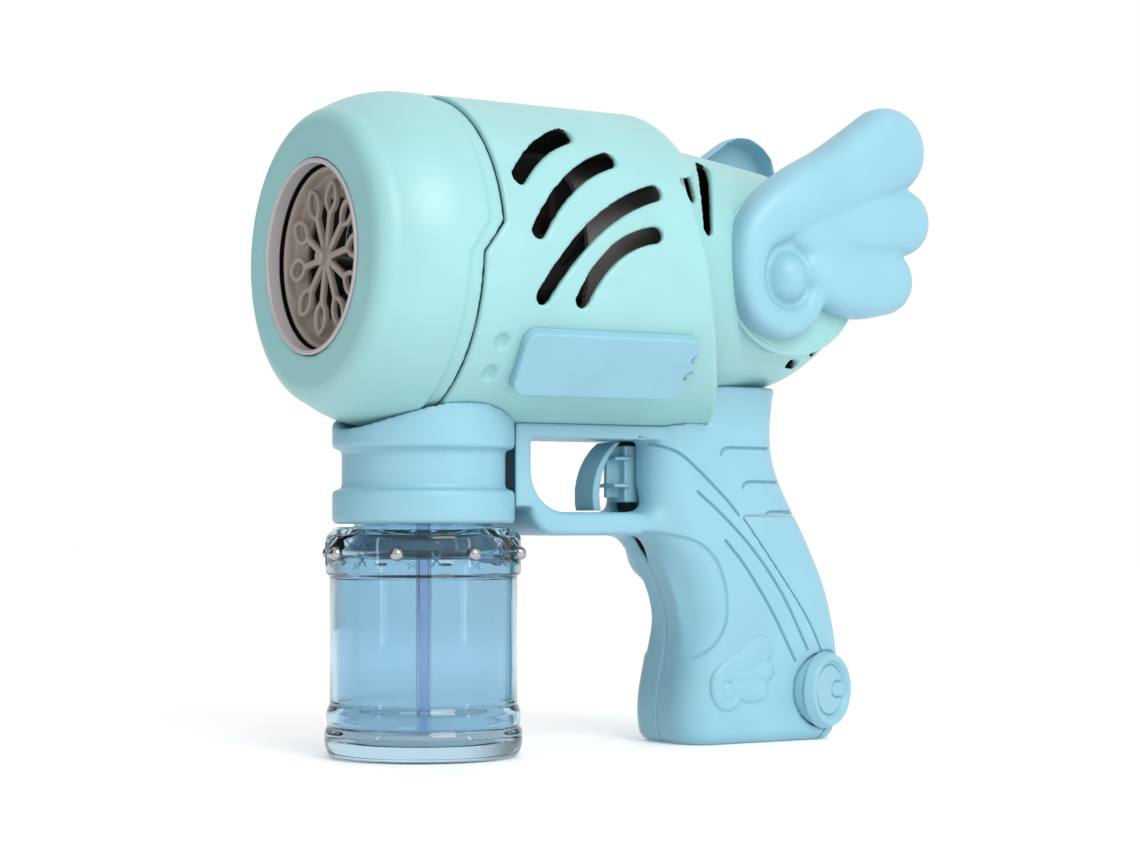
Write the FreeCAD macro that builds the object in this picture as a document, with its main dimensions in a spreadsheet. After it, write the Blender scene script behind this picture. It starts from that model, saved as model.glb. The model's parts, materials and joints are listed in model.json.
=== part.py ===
import FreeCAD, Part
import math
import os
import Sketcher
from types import SimpleNamespace

# Hand-held bubble blower with wings, as an assembly of its separate pieces.
# Millimetres. +Z is up, the nozzle points to -Y, +X is the blower's left side.
# The origin is the centre of the bottle's base, on the surface it stands on.

Vector = FreeCAD.Vector
doc = FreeCAD.newDocument("BubbleBlower")
sheet = doc.addObject("Spreadsheet::Sheet", "Sizes")


# ---------------------------------------------------------------- sizes

DRIVING = [
    ("AxisHeight", 127.8, "height of the barrel's axis above the ground"),
    ("BarrelRadius", 43.3, "outside of the round barrel"),
    ("Wall", 2.0, "wall of the casing shells"),
    ("SeamGap", 0.15, "hairline between neighbouring shells"),
    ("NoseLength", 33.0, "nozzle face in front of the bottle's axis"),
    ("NozzleRadius", 24.9, "opening in the cowl"),
    ("FaceInset", 10.3, "flat of the cowl's face inside the barrel's radius"),
    ("CreaseInset", 5.0, "crease between face rounding and swell, inside that radius"),
    ("CreaseSetback", 4.7, "crease behind the face"),
    ("SwellSetback", 22.0, "full radius reached behind the face"),
    ("SeamUpper", -1.0, "cowl seam above the zigzag"),
    ("SeamLower", -7.0, "cowl seam below the zigzag"),
    ("BandWidth", 4.6, "recessed band in front of the seam"),
    ("BandDepth", 1.0, "depth of the band"),
    ("BarrelEnd", 62.0, "where the mid shell starts to round down"),
    ("MidRear", 77.0, "rearmost point of the mid shell's top edge"),
    ("MidRearInset", 6.9, "mid shell's rear edge inside the barrel's radius"),
    ("RearFront", 54.0, "front edge of the rear shell"),
    ("FlareGap", 0.5, "rear shell's flare inside the mid shell's wall"),
    ("RearInset", 8.7, "rear shell under the mid shell's edge, inside the barrel's radius"),
    ("ShoulderInset", 12.0, "rear shell where its end rounding starts, inside that radius"),
    ("ShoulderY", 100.0, "place of that rounding's start"),
    ("TailInset", 18.5, "rear shell halfway round its end, inside that radius"),
    ("TailY", 117.5, "place halfway round the end"),
    ("TailEnd", 133.5, "rearmost point of the rear shell"),
    ("BossRadius", 22.5, "wing boss"),
    ("BossY", 96.0, "wing boss centre along the barrel"),
    ("BossRise", 1.2, "wing boss centre above the barrel's axis"),
    ("BossReach", 32.0, "wing boss face from the middle plane"),
    ("WingDepth", 9.0, "thickness of the puffed wing"),
    ("WingWall", 1.8, "wall of the hollow wing"),
    ("WingScrewRadius", 1.5, "wing fixing screw"),
    ("VentWidth", 4.2, "width of the curved vent slots"),
    ("RearVentWidth", 3.6, "width of the rear shell's slots"),
    ("PlateLength", 54.0, "side plate along the barrel"),
    ("PlateWidth", 18.5, "side plate across"),
    ("PlateProud", 2.4, "side plate outside the barrel's surface"),
    ("PlateAngle", 127.5, "side plate's place round the barrel, from the top"),
    ("PlateMiddle", 33.5, "side plate centre along the barrel"),
    ("PinHoleRadius", 1.9, "two small round dimples by the side plate"),
    ("DimpleDepth", 1.3, "depth of those dimples"),
    ("CollarRadius", 23.65, "upper and lower rings of the collar"),
    ("CollarWaist", 21.2, "collar between its rings"),
    ("CollarBottom", 60.3, "lower edge of the collar"),
    ("CollarLowTop", 69.1, "top of the lower ring"),
    ("CollarHighBottom", 79.5, "bottom of the upper ring"),
    ("BottleRadius", 24.3, "bottle body"),
    ("BandRadius", 25.3, "band round the bottle's shoulder"),
    ("BandBottom", 47.4, "lower edge of that band"),
    ("BandTop", 57.2, "upper edge of that band"),
    ("BottleTop", 59.5, "shoulder of the bottle"),
    ("FootRadius", 25.7, "bottle's foot"),
    ("BottleWall", 1.8, "wall of the bottle"),
    ("NeckRadius", 18.0, "outside of the bottle's neck"),
    ("NeckTop", 71.5, "top of the bottle's neck"),
    ("WasherThickness", 1.6, "sealing washer"),
    ("StudRadius", 1.8, "metal studs round the bottle"),
    ("StudHeight", 52.7, "height of the studs"),
    ("TubeRadius", 2.0, "outside of the dip tube"),
    ("TubeBore", 1.2, "bore radius of the tubes"),
    ("Fit", 0.3, "clearance between pieces that move"),
    ("Running", 0.05, "radial clearance of a shaft in its hole"),
    ("GripHalf", 16.0, "half the thickness of the grip"),
    ("GripRound", 10.0, "rounding of the grip's edges"),
    ("GripWall", 2.2, "wall of the grip"),
    ("GuardHalf", 14.0, "half the thickness of the trigger guard"),
    ("GuardBottom", 57.2, "underside of the guard"),
    ("GuardFloor", 63.4, "lower edge of the finger opening"),
    ("GuardCeiling", 82.8, "upper edge of the finger opening"),
    ("GuardRound", 11.0, "rounding of the finger opening's front corner"),
    ("GripFrontTop", 63.0, "front of the grip inside the finger opening"),
    ("DoorTop", 62.7, "upper edge of the battery door"),
    ("KnobRadius", 10.8, "lock knob"),
    ("KnobThickness", 3.4, "lock knob along its axis"),
    ("KnobTurn", 20.0, "knob's axis turned to the rear, degrees"),
    ("KnobY", 119.7, "knob centre along the barrel"),
    ("KnobHeight", 14.0, "knob centre above the ground"),
    ("KnobFace", 14.9, "knob's seat plane from the middle plane"),
    ("TriggerHalf", 4.6, "half the trigger's width"),
    ("TriggerTravel", 4.5, "trigger travel"),
    ("CellRadius", 7.1, "AA cell"),
    ("CellLength", 50.0, "AA cell"),
    ("CellSpread", 7.35, "half the distance between the paired cells"),
    ("CellOffset", 6.2, "cell centres off the middle plane"),
    ("HolderY", 97.0, "battery holder centre"),
    ("HolderBottom", 3.5, "underside of the battery holder"),
    ("RingInner", 23.6, "inside of the nozzle ring"),
    ("RingDepth", 3.4, "nozzle ring along the barrel"),
    ("WheelRadius", 20.0, "bubble wheel over its loops"),
    ("WheelY", -28.2, "middle plane of the bubble wheel"),
    ("WheelThickness", 1.5, "bubble wheel"),
    ("LoopCount", 10, "loops on the wheel"),
    ("LoopHalfLength", 4.5, "loop, along the spoke"),
    ("LoopHalfWidth", 3.2, "loop, across the spoke"),
    ("LoopBand", 1.3, "width of a loop's rim"),
    ("HubRadius", 2.0, "wheel hub"),
    ("TrayRadius", 23.2, "outside of the solution tray"),
    ("TrayHole", 15.5, "air opening of the tray"),
    ("TrayFront", -28.9, "lip of the tray"),
    ("ShaftRadius", 1.5, "shafts"),
    ("GearModule", 0.8, "gear module"),
    ("WheelTeeth", 36, "teeth of the wheel gear"),
    ("PinionTeeth", 9, "teeth of the motor's pinion"),
    ("PumpTeeth", 24, "teeth of the pump gear"),
    ("GearY", -4.0, "front face of the gears"),
    ("GearWidth", 3.0, "gears along the barrel"),
    ("CarrierY", 1.5, "front face of the gear carrier"),
    ("CarrierThickness", 2.4, "gear carrier"),
    ("DriveMotorRadius", 9.0, "drive motor"),
    ("DriveMotorLength", 23.0, "drive motor"),
    ("PumpAngle", 30.0, "pump below the level of the motor, degrees"),
    ("PumpRadius", 11.0, "pump body"),
    ("PumpLength", 10.0, "pump body"),
    ("DuctRadius", 31.0, "fan duct outside"),
    ("DuctFront", 31.0, "front edge of the fan duct"),
    ("DuctLength", 27.0, "fan duct"),
    ("FanMotorRadius", 11.0, "fan motor"),
    ("FanMotorLength", 24.0, "fan motor"),
    ("BladeCount", 7, "fan blades"),
]


class Dim:
    """A size: its number, and the sheet formula that gives it."""

    def __init__(self, value, formula):
        self.value = float(value)
        self.formula = formula

    def __add__(self, other):
        other = dim(other)
        return Dim(self.value + other.value, f"({self.formula} + {other.formula})")

    def __radd__(self, other):
        return dim(other) + self

    def __sub__(self, other):
        other = dim(other)
        return Dim(self.value - other.value, f"({self.formula} - {other.formula})")

    def __rsub__(self, other):
        return dim(other) - self

    def __mul__(self, other):
        other = dim(other)
        return Dim(self.value * other.value, f"({self.formula} * {other.formula})")

    def __rmul__(self, other):
        return dim(other) * self

    def __truediv__(self, other):
        other = dim(other)
        return Dim(self.value / other.value, f"({self.formula} / {other.formula})")

    def __neg__(self):
        return Dim(-self.value, f"(0 - {self.formula})")


def dim(value):
    """Any number as a Dim."""
    if isinstance(value, Dim):
        return value
    if value < 0:
        return Dim(value, f"(0 - {-value})")
    return Dim(value, str(value))


def sine(angle):
    """Sine of a Dim in degrees."""
    return Dim(math.sin(math.radians(angle.value)), f"sin({angle.formula} * 1deg)")


def cosine(angle):
    """Cosine of a Dim in degrees."""
    return Dim(math.cos(math.radians(angle.value)), f"cos({angle.formula} * 1deg)")


def fill_sheet():
    """Write the driving sizes and return them as named Dims."""
    sizes = {}
    for row, (alias, value, meaning) in enumerate(DRIVING, start=1):
        sheet.set(f"A{row}", alias)
        sheet.set(f"B{row}", str(value))
        sheet.set(f"C{row}", meaning)
        sheet.setAlias(f"B{row}", alias)
        sizes[alias] = Dim(value, f"Sizes.{alias}")
    doc.recompute()
    return SimpleNamespace(**sizes)


S = fill_sheet()
NOSE = -S.NoseLength
FACE_RADIUS = S.BarrelRadius - S.FaceInset
CREASE_RADIUS = S.BarrelRadius - S.CreaseInset
MID_REAR_RADIUS = S.BarrelRadius - S.MidRearInset
FLARE_RADIUS = S.BarrelRadius - S.Wall - S.FlareGap
REAR_RADIUS = S.BarrelRadius - S.RearInset
SHOULDER_RADIUS = S.BarrelRadius - S.ShoulderInset
TAIL_RADIUS = S.BarrelRadius - S.TailInset
THROUGH = 60.0


# ---------------------------------------------------------------- making

nodes = []


def node(label, shape_object):
    """Name a finished sub-part; its label names its file."""
    shape_object.Label = label
    nodes.append(shape_object)
    return shape_object


def bind(target, name, size):
    """Set a property and bind it to the sheet."""
    size = dim(size)
    setattr(target, name, size.value)
    target.setExpression(name, size.formula)


def place(target, at, axis=(0, 0, 1), angle=0.0):
    """Turn an object about an axis and put it at a point bound to the sheet."""
    at = [dim(value) for value in at]
    base = Vector(*[value.value for value in at])
    target.Placement = FreeCAD.Placement(base, FreeCAD.Rotation(Vector(*axis), angle))
    for letter, value in zip("xyz", at):
        target.setExpression(f".Placement.Base.{letter}", value.formula)
    return target


TURN_TO = {"X": ((0, 1, 0), 90), "Y": ((1, 0, 0), -90), "Z": ((0, 0, 1), 0)}


def rod(name, radius, length, at, along="Y"):
    """Cylinder from a point, along +X, +Y or +Z."""
    cylinder = doc.addObject("Part::Cylinder", name)
    bind(cylinder, "Radius", radius)
    bind(cylinder, "Height", length)
    axis, angle = TURN_TO[along]
    return place(cylinder, at, axis, angle)


def block(name, size, at):
    """Box with its lowest corner at a point."""
    box = doc.addObject("Part::Box", name)
    for side, length in zip(("Length", "Width", "Height"), size):
        bind(box, side, length)
    return place(box, at)


def fuse(name, parts):
    """Union of several objects."""
    union = doc.addObject("Part::MultiFuse", name)
    union.Shapes = parts
    return union


def cut(name, base, tools):
    """Base without the tools."""
    result = doc.addObject("Part::Cut", name)
    result.Base = base
    result.Tool = tools[0] if len(tools) == 1 else fuse(name + "_tools", tools)
    return result


def common(name, first, second):
    """What two objects share."""
    result = doc.addObject("Part::Common", name)
    result.Base = first
    result.Tool = second
    return result


def mirrored(name, source):
    """The same piece on the other side of the middle plane."""
    result = doc.addObject("Part::Mirroring", name)
    result.Source = source
    result.Normal = Vector(1, 0, 0)
    result.Base = Vector(0, 0, 0)
    return result


def feature(name, shape):
    """An object that holds a shape made directly."""
    result = doc.addObject("Part::Feature", name)
    result.Shape = shape
    return result


def new_sketch(body, plane):
    """Sketch on one of the body's own origin planes."""
    sketch = body.newObject("Sketcher::SketchObject", "Sketch")
    faces = [item for item in body.Origin.OriginFeatures if item.Role == plane + "_Plane"]
    sketch.AttachmentSupport = [(faces[0], "")]
    sketch.MapMode = "FlatFace"
    return sketch


def pin_point(sketch, geometry, point, x, y):
    """Dimension a point of the sketch from the origin."""
    for kind, value in (("DistanceX", x), ("DistanceY", y)):
        value = dim(value)
        index = sketch.addConstraint(
            Sketcher.Constraint(kind, -1, 1, geometry, point, value.value))
        sketch.setExpression(f"Constraints[{index}]", value.formula)


def arc_between(start, end, radius):
    """Arc from start to end, bulging to the left of the way for a negative radius."""
    chord = end - start
    side = Vector(-chord.y, chord.x, 0).normalize()
    depth = math.sqrt(max(radius * radius - chord.Length ** 2 / 4, 0.0))
    centre = (start + end) * 0.5 + side * math.copysign(depth, radius)
    first = math.atan2(start.y - centre.y, start.x - centre.x)
    last = math.atan2(end.y - centre.y, end.x - centre.x)
    circle = Part.Circle(centre, Vector(0, 0, 1), abs(radius))
    if radius > 0:
        return Part.ArcOfCircle(circle, first, last), 1, 2
    return Part.ArcOfCircle(circle, last, first), 2, 1


def outline(sketch, corners):
    """Closed outline. A corner is (x, y), or (x, y, radius) where an arc leaves it."""
    edges = []
    for index, corner in enumerate(corners):
        following = corners[(index + 1) % len(corners)]
        start = Vector(dim(corner[0]).value, dim(corner[1]).value, 0)
        end = Vector(dim(following[0]).value, dim(following[1]).value, 0)
        if len(corner) == 2:
            edge = sketch.addGeometry(Part.LineSegment(start, end), False)
            edges.append((edge, 1, 2))
        else:
            radius = dim(corner[2])
            arc, begin, finish = arc_between(start, end, radius.value)
            edge = sketch.addGeometry(arc, False)
            edges.append((edge, begin, finish))
    for index, (edge, begin, finish) in enumerate(edges):
        following = edges[(index + 1) % len(edges)]
        sketch.addConstraint(
            Sketcher.Constraint("Coincident", edge, finish, following[0], following[1]))
        pin_point(sketch, edge, begin, corners[index][0], corners[index][1])
        if len(corners[index]) == 3:
            radius = dim(corners[index][2])
            size = radius if radius.value > 0 else -radius
            constraint = sketch.addConstraint(
                Sketcher.Constraint("Radius", edge, size.value))
            sketch.setExpression(f"Constraints[{constraint}]", size.formula)


def ring_line(sketch, x, y, radius):
    """Circle of the sketch."""
    circle = Part.Circle(Vector(dim(x).value, dim(y).value, 0), Vector(0, 0, 1), dim(radius).value)
    edge = sketch.addGeometry(circle, False)
    pin_point(sketch, edge, 3, x, y)
    constraint = sketch.addConstraint(Sketcher.Constraint("Radius", edge, dim(radius).value))
    sketch.setExpression(f"Constraints[{constraint}]", dim(radius).formula)


def turned(name, corners, at=(0, 0, 0), about="Y", axis=(0, 0, 1), angle=0.0):
    """Body of revolution. Corners are (radius, place along the axis)."""
    body = doc.addObject("PartDesign::Body", name)
    sketch = new_sketch(body, "XY" if about == "Y" else "XZ")
    outline(sketch, corners)
    revolution = body.newObject("PartDesign::Revolution", "Revolution")
    revolution.Profile = sketch
    revolution.ReferenceAxis = (sketch, ["V_Axis"])
    revolution.Angle = 360.0
    return place(body, at, axis, angle)


def plate(name, plane, outlines, thickness, at=(0, 0, 0), middle=False, backwards=False,
          axis=(0, 0, 1), angle=0.0):
    """Flat piece: outlines of a sketch, padded. An outline of three Dims is a circle."""
    body = doc.addObject("PartDesign::Body", name)
    sketch = new_sketch(body, plane)
    for item in outlines:
        if isinstance(item, list):
            outline(sketch, item)
        else:
            ring_line(sketch, *item)
    pad = body.newObject("PartDesign::Pad", "Pad")
    pad.Profile = sketch
    bind(pad, "Length", thickness)
    pad.Midplane = middle
    pad.Reversed = backwards
    return place(body, at, axis, angle)


def spline_edge(points, closed=False):
    """Smooth curve through points of the middle plane, given as (y, z)."""
    curve = Part.BSplineCurve()
    curve.interpolate([Vector(0, y, z) for y, z in points], PeriodicFlag=closed)
    return curve.toShape()


def line_edge(start, end):
    """Straight edge in the middle plane between two (y, z) points."""
    return Part.LineSegment(Vector(0, *start), Vector(0, *end)).toShape()


def slab(wire, half):
    """Face of a wire in the middle plane, thickened to both sides."""
    face = Part.Face(wire)
    face.translate(Vector(-half, 0, 0))
    return face.extrude(Vector(2 * half, 0, 0))


# ---------------------------------------------------------------- barrel

def seam_region(name, shift):
    """Everything in front of the cowl's seam; shift moves it along the barrel."""
    step = S.SeamLower + shift
    upper = S.SeamUpper + shift
    corners = [(-THROUGH, 50), (step, 50), (step, S.AxisHeight - 1), (upper, S.AxisHeight + 7),
               (upper, 200), (-THROUGH, 200)]
    return plate(name, "YZ", [corners], 2 * THROUGH, middle=True)


def front_cowl():
    """Round cowl with the nozzle opening and the recessed band at its rear edge."""
    full = S.BarrelRadius
    swell = NOSE + S.SwellSetback
    crease = NOSE + S.CreaseSetback
    end = dim(2.0)
    corners = [
        (S.NozzleRadius, NOSE), (FACE_RADIUS, NOSE, 6.0),
        (CREASE_RADIUS, crease, 32.4), (full, swell), (full, end),
        (full - S.Wall, end), (full - S.Wall, swell, -30.4),
        (CREASE_RADIUS - S.Wall + 0.3, crease + 1.6),
        (FACE_RADIUS - 0.6, NOSE + S.Wall), (S.NozzleRadius, NOSE + S.Wall)]
    body = turned("CowlTurned", corners, at=(0, 0, S.AxisHeight))
    shell = common("CowlShell", body, seam_region("CowlRegion", 0))
    band = cut("BandCutter", seam_region("BandFrontRegion", 0),
               [seam_region("BandRearRegion", -S.BandWidth),
                rod("BandCore", full - S.BandDepth, 2 * THROUGH, (0, -THROUGH, S.AxisHeight))])
    node("front_cowl", cut("FrontCowl", shell, [band]))


def swoosh(name, start, end, radius, width):
    """Curved slot seen from the side: an arc band with rounded ends, through +X."""
    begin = Vector(dim(start[0]).value, dim(start[1]).value, 0)
    finish = Vector(dim(end[0]).value, dim(end[1]).value, 0)
    arc, _, _ = arc_between(begin, finish, radius)
    centre = arc.Center
    half = width / 2
    at_start = (begin - centre).normalize()
    at_end = (finish - centre).normalize()
    corners = [
        (start[0] + half * at_start.x, start[1] + half * at_start.y, dim(radius) + half),
        (end[0] + half * at_end.x, end[1] + half * at_end.y, half * 1.02),
        (end[0] - half * at_end.x, end[1] - half * at_end.y, -(dim(radius) - half)),
        (start[0] - half * at_start.x, start[1] - half * at_start.y, half * 1.02)]
    slot = plate(name, "YZ", [corners], THROUGH)
    return slot


MID_VENTS = [(25.0, 31.6, 5.1, 18.5, 41.0), (35.0, 25.5, 8.5, 4.8, 46.0),
             (46.2, 17.4, 10.4, -11.3, 58.0), (44.4, 6.2, 22.3, -11.6, 27.0)]
REAR_VENTS = [(62.0, 31.5, 59.0, 27.0, 20.0), (69.0, 31.0, 62.5, 18.0, 34.0),
              (75.0, 28.0, 66.5, 9.5, 40.0)]


def swooshes(name, places, width):
    """A set of curved slots; each is start, end (along the barrel, above its axis), radius."""
    axis = S.AxisHeight
    return [swoosh(f"{name}{index}", (dim(y0), axis + z0), (dim(y1), axis + z1), radius, width)
            for index, (y0, z0, y1, z1, radius) in enumerate(places)]


def barrel_end_region(name, shift):
    """Everything behind the mid shell's rear edge."""
    axis = S.AxisHeight
    low = axis - S.BarrelRadius - 4
    corners = [
        (S.MidRear + shift, axis + 60), (S.MidRear + shift, axis + 34, -26.0),
        (S.BarrelEnd - 6.6 + shift, axis + 22), (S.BarrelEnd - 3.1 + shift, axis + 3),
        (S.BarrelEnd + 0.2 + shift, axis - 9.5, 75.0),
        (S.MidRear + 11 + shift, low), (200, low), (200, axis + 60)]
    return plate(name, "YZ", [corners], 2 * THROUGH, middle=True)


def mid_shells():
    """Left and right halves of the barrel behind the cowl."""
    full = S.BarrelRadius
    inner = full - S.Wall
    front = S.SeamLower - 1
    rear = S.MidRear + 14
    corners = [
        (full, front), (full, S.BarrelEnd, 26.0), (MID_REAR_RADIUS, S.MidRear),
        (MID_REAR_RADIUS - 1.3, S.MidRear, -24.0), (inner, S.BarrelEnd), (inner, front)]
    tube = turned("MidTurned", corners, at=(0, 0, S.AxisHeight))
    skirt = cut("MidSkirt", rod("SkirtOuter", full, rear, (0, 0, S.AxisHeight)),
                [rod("SkirtInner", inner, rear + 2, (0, -1, S.AxisHeight)),
                 block("SkirtAbove", (2 * THROUGH, 2 * THROUGH, 120),
                       (-THROUGH, -10, S.AxisHeight - 8))])
    both = fuse("MidTube", [tube, skirt])
    pins = fuse("PinHoles", [
        rod("PinHoleHigh", S.PinHoleRadius, THROUGH, (20, 1.2, S.AxisHeight - 22.2), "X"),
        rod("PinHoleLow", S.PinHoleRadius, THROUGH, (20, 1.2, S.AxisHeight - 29.8), "X")])
    dimples = cut("Dimples", pins, [rod("DimpleFloor", full - S.DimpleDepth, 2 * THROUGH,
                                        (0, -THROUGH, S.AxisHeight))])
    tube_hole = rod("TubeHole", S.TubeRadius + S.Fit, 30,
                    (0, 0, S.AxisHeight - full - 6), "Z")
    shell = cut("MidBoth", both, [seam_region("MidFront", S.SeamGap),
                                  barrel_end_region("MidBehind", 0), tube_hole])
    half = block("MidHalf", (THROUGH, 200, 200), (0, -80, 20))
    left_blank = common("MidLeftBlank", shell, half)
    vented = cut("MidVented", left_blank, swooshes("Vent", MID_VENTS, S.VentWidth))
    left = node("mid_shell_left", cut("MidLeft", vented, [dimples]))
    node("mid_shell_right", mirrored("MidRight", left))


def envelope_rear(name, grow):
    """Solid of the rear shell's outside, grown by a clearance."""
    return turned(name, [
        (0, S.RearFront), (FLARE_RADIUS + grow, S.RearFront),
        (FLARE_RADIUS + grow, S.RearFront + 2, -30.0), (REAR_RADIUS + 0.4 + grow, S.RearFront + 15),
        (REAR_RADIUS + grow, S.MidRear),
        (SHOULDER_RADIUS + grow, S.ShoulderY, 42.0), (TAIL_RADIUS + grow, S.TailY, 30.0),
        (8.0, S.TailEnd - 2 + grow, 12.0), (0, S.TailEnd + grow)],
        at=(0, 0, S.AxisHeight))


def rear_vents():
    """Three curved slots near the top and two low at the back, on one side."""
    low = []
    for index, (y, z) in enumerate(((104.0, -24.6), (112.5, -20.6))):
        low.append(block(f"LowVent{index}", (THROUGH, 5.0, 2.4), (4, y, S.AxisHeight + z)))
    return swooshes("RearVent", REAR_VENTS, S.RearVentWidth) + low


def rear_shells():
    """Left and right halves of the tapered rear casing, with the wing bosses."""
    wall = S.Wall
    boss_height = S.AxisHeight + S.BossRise
    reach = S.BossReach
    outer = fuse("RearOuter", [
        envelope_rear("RearSolid", 0),
        rod("BossSolid", S.BossRadius, 2 * reach, (-reach, S.BossY, boss_height), "X")])
    inner_reach = reach - wall
    inner = fuse("RearInner", [
        turned("RearHollow", [
            (0, S.RearFront - 1), (FLARE_RADIUS - wall, S.RearFront - 1),
            (FLARE_RADIUS - wall, S.RearFront + 2, -30.0),
            (REAR_RADIUS + 0.4 - wall, S.RearFront + 15),
            (REAR_RADIUS - wall, S.MidRear),
            (SHOULDER_RADIUS - wall, S.ShoulderY, 40.0), (TAIL_RADIUS - wall, S.TailY - 1, 28.0),
            (6.5, S.TailEnd - 4, 12.0), (0, S.TailEnd - wall)], at=(0, 0, S.AxisHeight)),
        rod("BossHollow", S.BossRadius - wall, 2 * inner_reach,
            (-inner_reach, S.BossY, boss_height), "X")])
    screw_hole = rod("BossScrewHole", S.WingScrewRadius + 0.1, 2 * THROUGH,
                     (-THROUGH, S.BossY, boss_height), "X")
    shell = cut("RearBoth", outer, [inner, screw_hole])
    half = block("RearHalf", (THROUGH, 200, 200), (0, -20, 20))
    left = cut("RearLeft", common("RearLeftHalf", shell, half), rear_vents())
    node("rear_shell_left", left)
    node("rear_shell_right", mirrored("RearRight", left))


# ---------------------------------------------------------------- wings and side plates

def wing_shape(inset, near, far):
    """Puffed wing between two planes of X: three feathers and a scroll, as one outline."""
    y = S.BossY.value
    z = S.AxisHeight.value
    outline_points = [
        (-22.0, 1.0), (-18.5, 11.0), (-13.5, 20.5), (-5.5, 25.0), (5.5, 31.0), (11.5, 39.5),
        (20.5, 46.3), (31.0, 46.9), (39.0, 41.0), (42.5, 31.0), (38.5, 23.0), (43.0, 18.0),
        (41.0, 9.5), (35.0, 4.0), (37.0, -1.5), (32.5, -8.5), (23.0, -12.0), (11.0, -11.5),
        (4.0, -13.5), (-6.0, -17.8), (-15.0, -13.5), (-20.5, -6.5)]
    points = []
    for index, (dy, dz) in enumerate(outline_points):
        before = outline_points[index - 1]
        after = outline_points[(index + 1) % len(outline_points)]
        way = Vector(after[0] - before[0], after[1] - before[1], 0).normalize()
        points.append((y + dy + inset * way.y, z + dz - inset * way.x))
    face = Part.Face(Part.Wire(spline_edge(points, closed=True)))
    face.translate(Vector(near, 0, 0))
    return face.extrude(Vector(far - near, 0, 0))


def wings():
    """Hollow wings, open to the inside, screwed to the bosses."""
    near = S.BossReach.value + 0.1
    far = near + S.WingDepth.value
    outside = wing_shape(0, near, far)
    rim = [edge for edge in outside.Edges if edge.BoundBox.XMin > far - 0.01]
    outside = outside.makeFillet(3.0, rim)
    hollow = wing_shape(S.WingWall.value, near - 1, far - S.WingWall.value)
    pad_centre = Vector(near, S.BossY.value, (S.AxisHeight + S.BossRise).value)
    seat = Part.makeCylinder(12.0, far - near - S.WingWall.value, pad_centre, Vector(1, 0, 0))
    bore = Part.makeCylinder(S.WingScrewRadius.value + 0.1, 6.0, pad_centre, Vector(1, 0, 0))
    room = envelope_rear("WingRoom", 0.1)
    doc.recompute()
    shell = outside.cut(hollow).fuse(seat.common(hollow)).removeSplitter().cut([bore, room.Shape])
    left = node("wing_left", feature("WingLeft", shell))
    node("wing_right", mirrored("WingRight", left))


def wing_screws():
    """One screw from inside each boss into its wing."""
    height = S.AxisHeight + S.BossRise
    screws = []
    for name, side in (("Left", 1), ("Right", -1)):
        inner = S.BossReach - S.Wall
        head_at = inner - 2.2 if side > 0 else -inner
        shank_at = inner - 1 if side > 0 else -inner - 6.5
        head = rod(f"WingScrewHead{name}", 2.8, 2.2, (head_at, S.BossY, height), "X")
        shank = rod(f"WingScrewShank{name}", S.WingScrewRadius, 7.5,
                    (shank_at, S.BossY, height), "X")
        screws.append(fuse(f"WingScrew{name}", [head, shank]))
    node("wing_screws", fuse("WingScrews", screws))


def side_plates():
    """Light plates on the barrel's lower flanks, with a scalloped rear end."""
    half = S.PlateWidth / 2
    length = S.PlateLength / 2
    lobe = S.PlateWidth / 6
    bulge = lobe * 1.12
    corners = [
        (-length + 4, -half), (length - 3, -half, bulge), (length - 2, -half + 2 * lobe, bulge),
        (length - 2, -half + 4 * lobe, bulge), (length - 4, half),
        (-length + 3, half, 4.0), (-length, half - 4), (-length + 1, -half + 3, 4.0)]
    blank = plate("SidePlate", "XY", [corners], S.PlateProud + 6)
    turn = S.PlateAngle
    reach = S.BarrelRadius - 6
    lean = FreeCAD.Rotation(Vector(0, 1, 0), turn.value)
    facing = FreeCAD.Rotation(Vector(0, 1, 0), Vector(-1, 0, 0), Vector(0, 0, 1), "ZXY")
    blank.Placement = FreeCAD.Placement(Vector(0, 0, 0), lean.multiply(facing))
    blank.setExpression(".Placement.Base.x", (reach * sine(turn)).formula)
    blank.setExpression(".Placement.Base.y", S.PlateMiddle.formula)
    blank.setExpression(".Placement.Base.z", (S.AxisHeight + reach * cosine(turn)).formula)
    core = rod("PlateCore", S.BarrelRadius, 2 * THROUGH + 40, (0, -THROUGH, S.AxisHeight))
    left = node("side_plate_left", cut("PlateLeft", blank, [core]))
    node("side_plate_right", mirrored("PlateRight", left))


# ---------------------------------------------------------------- nozzle and drive

def nozzle_ring():
    """Light ring lining the nozzle opening, with a lip in front."""
    outer = S.NozzleRadius - S.SeamGap / 2
    front = NOSE - 0.5
    corners = [(S.RingInner, front + 0.4, 0.5), (S.RingInner + 0.4, front),
               (outer + 0.0, front), (outer, NOSE + S.Wall + 0.3),
               (outer + 2, NOSE + S.Wall + 0.3), (outer + 2, NOSE + S.RingDepth),
               (S.RingInner, NOSE + S.RingDepth)]
    node("nozzle_ring", turned("NozzleRing", corners, at=(0, 0, S.AxisHeight)))


def solution_tray():
    """Shallow dish behind the bubble wheel that holds the soap film's supply."""
    front = S.TrayFront
    floor = S.WheelY + 2.2
    corners = [(S.TrayHole, floor), (S.TrayRadius - 1.6, floor), (S.TrayRadius - 0.9, front),
               (S.TrayRadius, front), (S.TrayRadius, floor + 5), (S.TrayRadius - 1.2, floor + 5),
               (S.TrayRadius - 1.2, floor + 1.2), (S.TrayHole, floor + 1.2)]
    node("solution_tray", turned("SolutionTray", corners, at=(0, 0, S.AxisHeight)))


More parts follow.
